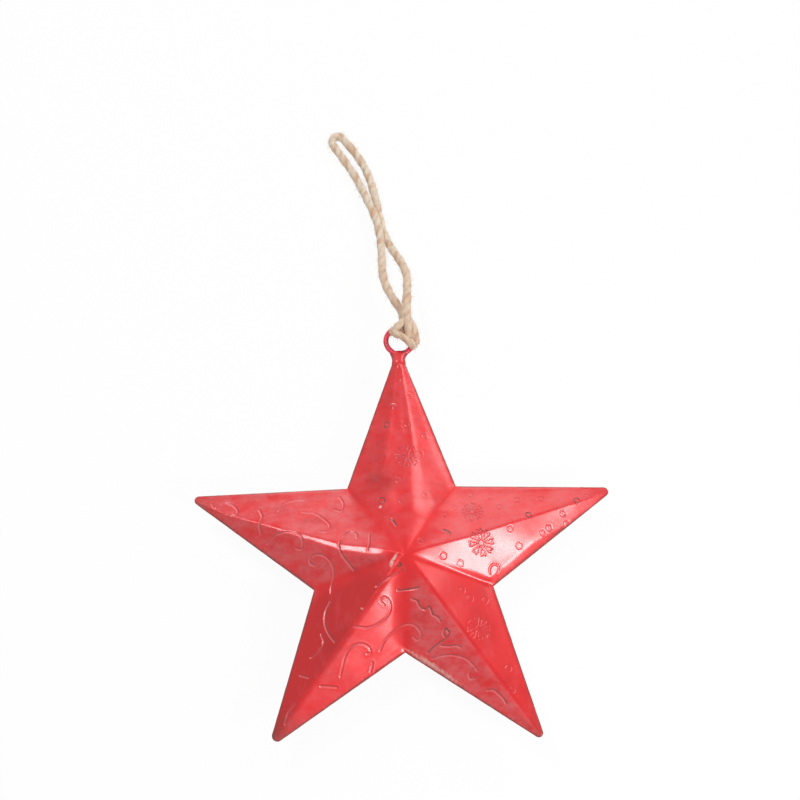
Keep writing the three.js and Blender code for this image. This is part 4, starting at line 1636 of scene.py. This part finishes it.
@dataclass
class Twine:
    """Jute twine: plies laid round each other, a little uneven along its length."""

    diameter: float = 3.1
    plies: int = 3
    lay: float = 12.5
    ply_relief: float = 0.05
    ply_sharpness: float = 0.7
    ply_bulge: float = 1.6
    ply_dip: float = 0.4
    unevenness: float = 0.06
    uneven_rates: Point2 = (0.9, 2.3)
    quick_share: float = 0.7
    quick_seed: float = 2.1
    sides: int = 24
    step: float = 0.4
    fibre_length: float = 1.5
    fibre_radius: float = 0.035
    fibre_arc: tuple[Point3, ...] = ((0, 0, 0), (0, 0, 0.4), (0.35, 0, 0.6), (0.95, 0.1, 0.5))
    fibre_tilts: tuple[Point3, Point3] = ((-0.7, -0.7, -3.1), (0.5, 0.7, 3.1))
    fibre_sizes: Point2 = (0.45, 1.2)

    def swell(self, seed: float, widen: Widen) -> Swell:
        """Gives the twine's radius round and along it, with the dips between the plies."""

        def radius(angle: np.ndarray, far: float) -> np.ndarray:
            turned = self.plies * (angle - 2 * math.pi * far / self.lay) / 2
            bulge = self.ply_bulge * np.abs(np.sin(turned)) ** self.ply_sharpness - self.ply_dip
            lobes = 1 - self.ply_relief + self.ply_relief * bulge
            slow_rate, quick_rate = self.uneven_rates
            slow = math.sin(far * slow_rate + seed)
            quick = math.sin(far * quick_rate + self.quick_seed * seed)
            uneven = 1 + self.unevenness * (slow + self.quick_share * quick)
            return self.diameter / 2 * lobes * uneven * widen(far)

        return radius

    def strand(self, line: np.ndarray, seed: float, widen: Widen) -> Skein:
        """Lays one strand of twine along a line.

        Args:
            line: Where the strand's middle runs.
            seed: Sets where its uneven places fall.
            widen: Gives how much wider the strand is at a distance along it.

        Returns:
            The points, the faces and the values that the finish reads.
        """
        verts, faces = lofted(Tube(self.sides).rings(line, self.swell(seed, widen)))
        angle = np.tile(round_angles(self.sides), len(line))
        far = np.repeat(np.linspace(0, length_of(line), len(line)), self.sides)
        laid = angle - 2 * math.pi * far / self.lay
        yarn = np.stack([np.cos(laid), np.sin(laid), far / 2 + 40 * seed], 1)
        # how deep each point lies between the plies, for the painted shade there
        dip = 1 - np.abs(np.sin(self.plies * laid / 2)) ** self.ply_sharpness
        ends = np.array([yarn[: self.sides].mean(0), yarn[-self.sides :].mean(0)])
        values = {"yarn": np.vstack([yarn, ends]), "crevice": np.concatenate([dip, [0.0, 0.0]])}
        return verts, faces, values

    def bundle(self, name: str, parts: Sequence[Skein], finish: Material) -> Piece:
        """Makes one piece of one or more strands.

        Args:
            name: The name of the new piece.
            parts: The points, faces and values of each strand.
            finish: The piece's material.

        Returns:
            The strands as one piece.
        """
        count = 0
        faces: Faces = []
        for part_verts, part_faces, _ in parts:
            faces += [tuple(count + v for v in face) for face in part_faces]
            count += len(part_verts)
        values = {key: np.concatenate([part[2][key] for part in parts]) for key in parts[0][2]}
        piece = mesh_object(name, np.vstack([part[0] for part in parts]), faces, values=values)
        piece.data.materials.append(finish)
        return smoothed(piece)

    def fuzz(self, name: str, twine: Piece, finish: Material, count_per_mm2: float, seed: int) -> Piece:
        """Scatters loose fibres over a piece of twine with a geometry node tree.

        Args:
            name: The name of the new piece.
            twine: The piece that the fibres grow on.
            finish: Their material.
            count_per_mm2: How many fibres grow on a square millimetre.
            seed: Sets where they grow.

        Returns:
            The fibres as one piece.
        """
        hairs = bpy.data.objects.new(name, twine.data.copy())
        bpy.context.scene.collection.objects.link(hairs)
        t = GrowingTree("loose_fibres")
        sizes = t.sizes(
            fibres_on_a_square_metre=count_per_mm2 * 1e6,
            fibre_length=self.fibre_length * MM,
            fibre_radius=self.fibre_radius * MM,
        )
        chance = t.input("Seed", SocketKind.COUNT, seed)
        coat = t.input("Finish", SocketKind.FINISH, finish)
        inputs = {"Mesh": t.start.outputs[0], "Density": sizes["fibres_on_a_square_metre"], "Seed": chance}
        grown = t.add("GeometryNodeDistributePointsOnFaces", inputs)
        inputs = dict(zip(("Start", "Start Handle", "End Handle", "End"), self.fibre_arc))
        arc = t.result("GeometryNodeCurvePrimitiveBezierSegment", {"Resolution": 4, **inputs})
        inputs = {0: self.fibre_tilts[0], 1: self.fibre_tilts[1], "Seed": chance}
        tilt = t.result("FunctionNodeRandomValue", inputs, data_type="FLOAT_VECTOR")
        inputs = {0: grown.outputs["Rotation"], 1: tilt}
        turned = t.result("FunctionNodeRotateRotation", inputs, rotation_space="LOCAL")
        inputs = {2: self.fibre_sizes[0], 3: self.fibre_sizes[1], "Seed": chance}
        varied = t.add("FunctionNodeRandomValue", inputs, data_type="FLOAT").outputs[1]
        inputs = {"Points": grown.outputs[0], "Instance": arc, "Rotation": turned}
        inputs["Scale"] = t.times(varied, sizes["fibre_length"])
        placed = t.result("GeometryNodeInstanceOnPoints", inputs)
        real = t.result("GeometryNodeRealizeInstances", {"Geometry": placed})
        inputs = {"Resolution": 3, "Radius": sizes["fibre_radius"]}
        section = t.result("GeometryNodeCurvePrimitiveCircle", inputs)
        inputs = {"Curve": real, "Profile Curve": section, "Fill Caps": True}
        return t.run(hairs, t.result("GeometryNodeCurveToMesh", inputs), coat)


@dataclass(frozen=True)
class Strand:
    """A short strand: how wide it is beside loose twine, where its uneven places fall, and its route."""

    width: float
    seed: float
    route: tuple[Point3, ...]

    def laid(self, twine: Twine) -> Skein:
        """Lays the strand in a given twine."""
        return twine.strand(route_through(self.route, twine.step), self.seed, lambda _: self.width)


@dataclass
class TwineLoop:
    """The loop of twine that the star hangs by, as it lies on the table in one long narrow bight."""

    twine: Twine = field(default_factory=Twine)
    eye: Point2 = (0.5, 83.96)
    route: tuple[Point3, ...] = (
        (1.6, 9.9, 12.7), (1.2, 12.2, 12.3), (0.0, 14.6, 12.1), (-2.6, 19.6, 11.1), (-4.9, 25.7, 9.0),
        (-5.9, 31.6, 6.9), (-6.0, 37.2, 5.4), (-6.2, 42.7, 4.7), (-6.6, 47.8, 4.6), (-7.5, 52.9, 4.7),
        (-9.1, 58.2, 4.4), (-11.3, 64.1, 3.1), (-13.6, 70.0, 1.8), (-16.1, 75.4, 1.6), (-19.2, 80.7, 1.6),
        (-22.5, 85.9, 1.6), (-24.2, 88.7, 1.6), (-24.9, 90.8, 1.6), (-24.2, 92.3, 1.6), (-22.7, 93.0, 1.6),
        (-21.0, 92.2, 1.6), (-19.5, 90.4, 1.6), (-15.9, 85.5, 1.6), (-12.9, 80.5, 1.6), (-10.7, 75.2, 1.6),
        (-9.2, 69.9, 1.6), (-8.0, 64.7, 1.6), (-7.1, 59.5, 1.6), (-6.1, 54.3, 1.6), (-4.7, 49.1, 1.7),
        (-2.8, 44.4, 2.7), (-0.5, 39.5, 4.7), (1.8, 34.2, 7.3), (3.2, 29.0, 9.8), (3.4, 23.8, 11.8),
        (3.2, 18.6, 13.7), (2.9, 13.4, 15.5), (2.6, 9.0, 16.2),
    )
    roots: tuple[Strand, ...] = (
        Strand(0.97, 0.97, ((2.1, 93.9, 12.7), (2.3, 92.4, 12.95), (2.2, 90.6, 13.6), (2.0, 88.8, 14.5))),
        Strand(1.1, 1.1, ((3.1, 93.0, 16.2), (3.0, 91.7, 16.2), (2.6, 90.1, 15.5), (2.0, 88.8, 14.5))),
    )
    seed: float = 0.7
    last_widening: float = 0.16
    widening_span: Point2 = (14.0, 10.0)
    fibres_per_mm2: float = 0.42
    fibre_seed: int = 5

    def line(self) -> np.ndarray:
        """The loop's middle line in the part's frame."""
        x, y = self.eye
        return route_through([(x + dx, y + dy, z) for dx, dy, z in self.route], self.twine.step)

    def build(self, finish: Material) -> list[Piece]:
        line = self.line()
        total = length_of(line)

        def widen(far: float) -> float:
            back, over = self.widening_span
            return 1 + self.last_widening * float(rising(far, total - back, over))

        loop = self.twine.bundle("twine_loop", [self.twine.strand(line, self.seed, widen)], finish)
        fibres = self.twine.fuzz("twine_loop_fibres", loop, finish, self.fibres_per_mm2, self.fibre_seed)
        roots = self.twine.bundle("twine_loop_roots", [root.laid(self.twine) for root in self.roots], finish)
        for piece in (loop, fibres, roots):
            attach(piece, "loop")
        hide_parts("cord_loop")
        LOG.info("twine loop %.1f mm long", total)
        return [loop, fibres, roots]


@dataclass
class TwineHitch:
    """The hitch: turns of twine round the eye's wire, drawn tight, under the two ends of the loop."""

    middle_height: float
    twine: Twine = field(default_factory=Twine)
    drawn: Twine = field(default_factory=lambda: Twine(diameter=1.9, sides=20, ply_relief=0.08))
    drawn_seed: float = 2.4
    eye: Point2 = (0.5, 83.96)
    ring_radius: float = 5.05
    wire: float = 1.9
    start_degrees: float = -12.0
    end_degrees: float = 106.0
    turns: int = 6
    points_a_turn: int = 30
    first_turn: float = 1.2
    squeeze: float = 0.8
    under: Strand = Strand(0.95, 5.0, (
        (2.05, 94.3, 12.65), (2.3, 92.6, 12.6), (2.0, 90.6, 12.2), (1.5, 88.6, 12.1), (1.2, 86.9, 13.2),
        (1.6, 85.9, 15.0),
    ))
    left_lobe: Strand = Strand(0.92, 9.0, (
        (3.1, 93.4, 16.0), (2.7, 91.6, 16.7), (1.5, 89.9, 17.4), (0.0, 88.5, 17.4), (-1.0, 87.6, 16.8),
        (-2.0, 87.4, 15.4), (-2.4, 87.9, 13.8),
    ))
    middle: Strand = Strand(0.95, 6.0, (
        (3.0, 93.2, 16.1), (3.4, 91.2, 17.3), (3.7, 88.8, 17.9), (4.0, 86.6, 17.7), (4.2, 84.8, 16.4),
    ))
    right_lobe: Strand = Strand(0.95, 10.0, (
        (3.4, 93.0, 15.4), (4.4, 91.0, 16.3), (5.3, 89.0, 16.9), (6.1, 87.0, 16.9), (6.3, 85.0, 16.3),
        (6.2, 83.4, 15.0), (5.6, 82.3, 13.6),
    ))
    band: Strand = Strand(0.9, 4.0, (
        (-1.7, 88.4, 14.0), (-1.9, 87.3, 15.8), (-1.0, 86.1, 17.0), (0.9, 84.8, 17.7), (3.0, 83.3, 17.7),
        (4.5, 82.2, 16.9), (5.2, 81.7, 15.3), (5.1, 81.6, 13.8),
    ))
    fibres_per_mm2: float = 0.5
    fibre_seed: int = 9

    def bent(self, verts: np.ndarray) -> np.ndarray:
        """Bends what was wound on a straight wire round the eye."""
        angle = math.radians(self.start_degrees) + verts[:, 0] / self.ring_radius
        reach = self.ring_radius + verts[:, 1]
        x, y = self.eye[0] + reach * np.cos(angle), self.eye[1] + reach * np.sin(angle)
        return np.stack([x, y, self.middle_height + verts[:, 2]], 1)

    def winding(self) -> np.ndarray:
        """Winds the turns of drawn twine on a straight wire, from its far end to its near one."""
        span = math.radians(self.end_degrees - self.start_degrees) * self.ring_radius
        count = self.points_a_turn * self.turns + 1
        turn = np.linspace(0, 2 * math.pi * self.turns, count) - self.first_turn
        margin = 0.5 * self.drawn.diameter * self.squeeze
        out = self.wire / 2 + margin
        along = np.linspace(margin, span - margin, count)
        return np.stack([along, out * np.cos(turn), out * np.sin(turn)], 1)

    def build(self, finish: Material) -> list[Piece]:
        """Winds the turns, fans the loop's two ends out over them and draws the band across."""
        verts, faces, values = self.drawn.strand(self.winding(), self.drawn_seed, lambda _: 1.0)
        over = (self.under, self.left_lobe, self.middle, self.right_lobe, self.band)
        parts = [(self.bent(verts), faces, values), *(strand.laid(self.twine) for strand in over)]
        hitch = self.twine.bundle("twine_hitch", parts, finish)
        fibres = self.twine.fuzz("twine_hitch_fibres", hitch, finish, self.fibres_per_mm2, self.fibre_seed)
        for piece in (hitch, fibres):
            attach(piece, "hitch")
        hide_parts("cord_hitch")
        LOG.info("hitch of %d turns", self.turns)
        return [hitch, fibres]


@dataclass
class StarOrnament:
    """The whole ornament, sub-assembly by sub-assembly."""

    shell_depth: float = 14.05
    seam_thickness: float = 0.9

    @property
    def middle_height(self) -> float:
        """The height of the plane where the two shells meet."""
        return self.shell_depth + self.seam_thickness / 2

    def seat(self, piece: Piece, node: str) -> None:
        """Lets a piece stand for a solid of the star's body."""
        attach(piece, "star")
        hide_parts(node)
        LOG.info("%s stands for %s, %d faces", piece.name, node, len(piece.data.polygons))

    def build(self) -> None:
        """Builds every piece and seats it."""
        jute = JuteYarn().material()
        crimson = CrimsonLacquer().material()
        for piece in (*TwineLoop().build(jute), *TwineHitch(self.middle_height).build(jute)):
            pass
        front = StarShell(
            Side.FRONT,
            self.shell_depth + self.seam_thickness,
            peak_shift=(0.5, -1.8),
            ridge_drift=(0.0, 2.2, 0.0, 0.0, -0.8),
            ridge_softness=(8.0, 0.4, 1.3, 2.2, 0.45),
            ledges=(0.0, 3.8, 0.0, 0.0, 0.0),
            valley_softness=(7.5, 1.6, 5.0, 1.3, 7.5),
            band_lifts=((0.15, 0.15), (0.15, 0.45), (0.15, 0.3), (0.3, 0.15), (-0.5, 0.15)),
            # painted sheen on each pair of facets, and painted shade where it is below 0
            painted_sheen_facets=((0.45, 0.4), (0.9, 0.9), (-0.6, 0.4), (1.0, -0.3), (0.5, 0.6)),
            chips_and_sheen=(
                Mark(-3.5, -3.6, 5.6, 1.2, 62.0, 0.62),
                Mark(-7.6, 17.6, 1.0, 0.8, 20.0, 0.9),
                Mark(-14.6, -19.8, 0.8, 0.6, 0.0, 0.8),
                # a painted sheen along the edge of the lower right arm
                Mark(9.5, -38.5, 20.0, 1.3, -34.2, 0.42),
            ),
            stains=(
                Mark(-1.2, -5.3, 1.9, 1.5, 40.0, 0.9),
                Mark(-0.2, -6.9, 1.3, 0.7, -50.0, 0.6),
                Mark(15.7, 7.3, 3.4, 1.3, -33.0, 0.5),
                Mark(-2.9, 10.8, 3.4, 1.3, -62.0, 0.5),
            ),
        )
        lacquer = RedLacquer().material()
        self.seat(front.build(lacquer), "front_shell")
        back = StarShell(Side.BACK, self.shell_depth)
        self.seat(back.build(BareTin().material()), "back_shell")
        self.seat(SeamBead(self.middle_height).build(SoftSolder().material()), "seam_solder")
        self.seat(HangingEye(self.middle_height).build(crimson), "hanging_eye")
        self.seat(EyeSolder(self.middle_height).build(lacquer), "eye_solder")


def main() -> None:
    """Loads the solids, builds the looks round them and notes the sizes."""
    logging.basicConfig(level=logging.INFO, format="%(name)s: %(message)s")
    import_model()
    bpy.context.scene.view_settings.view_transform = "Standard"
    PhotoCamera().build()
    Studio().build()
    StarOrnament().build()


if __name__ == "__main__":
    main()
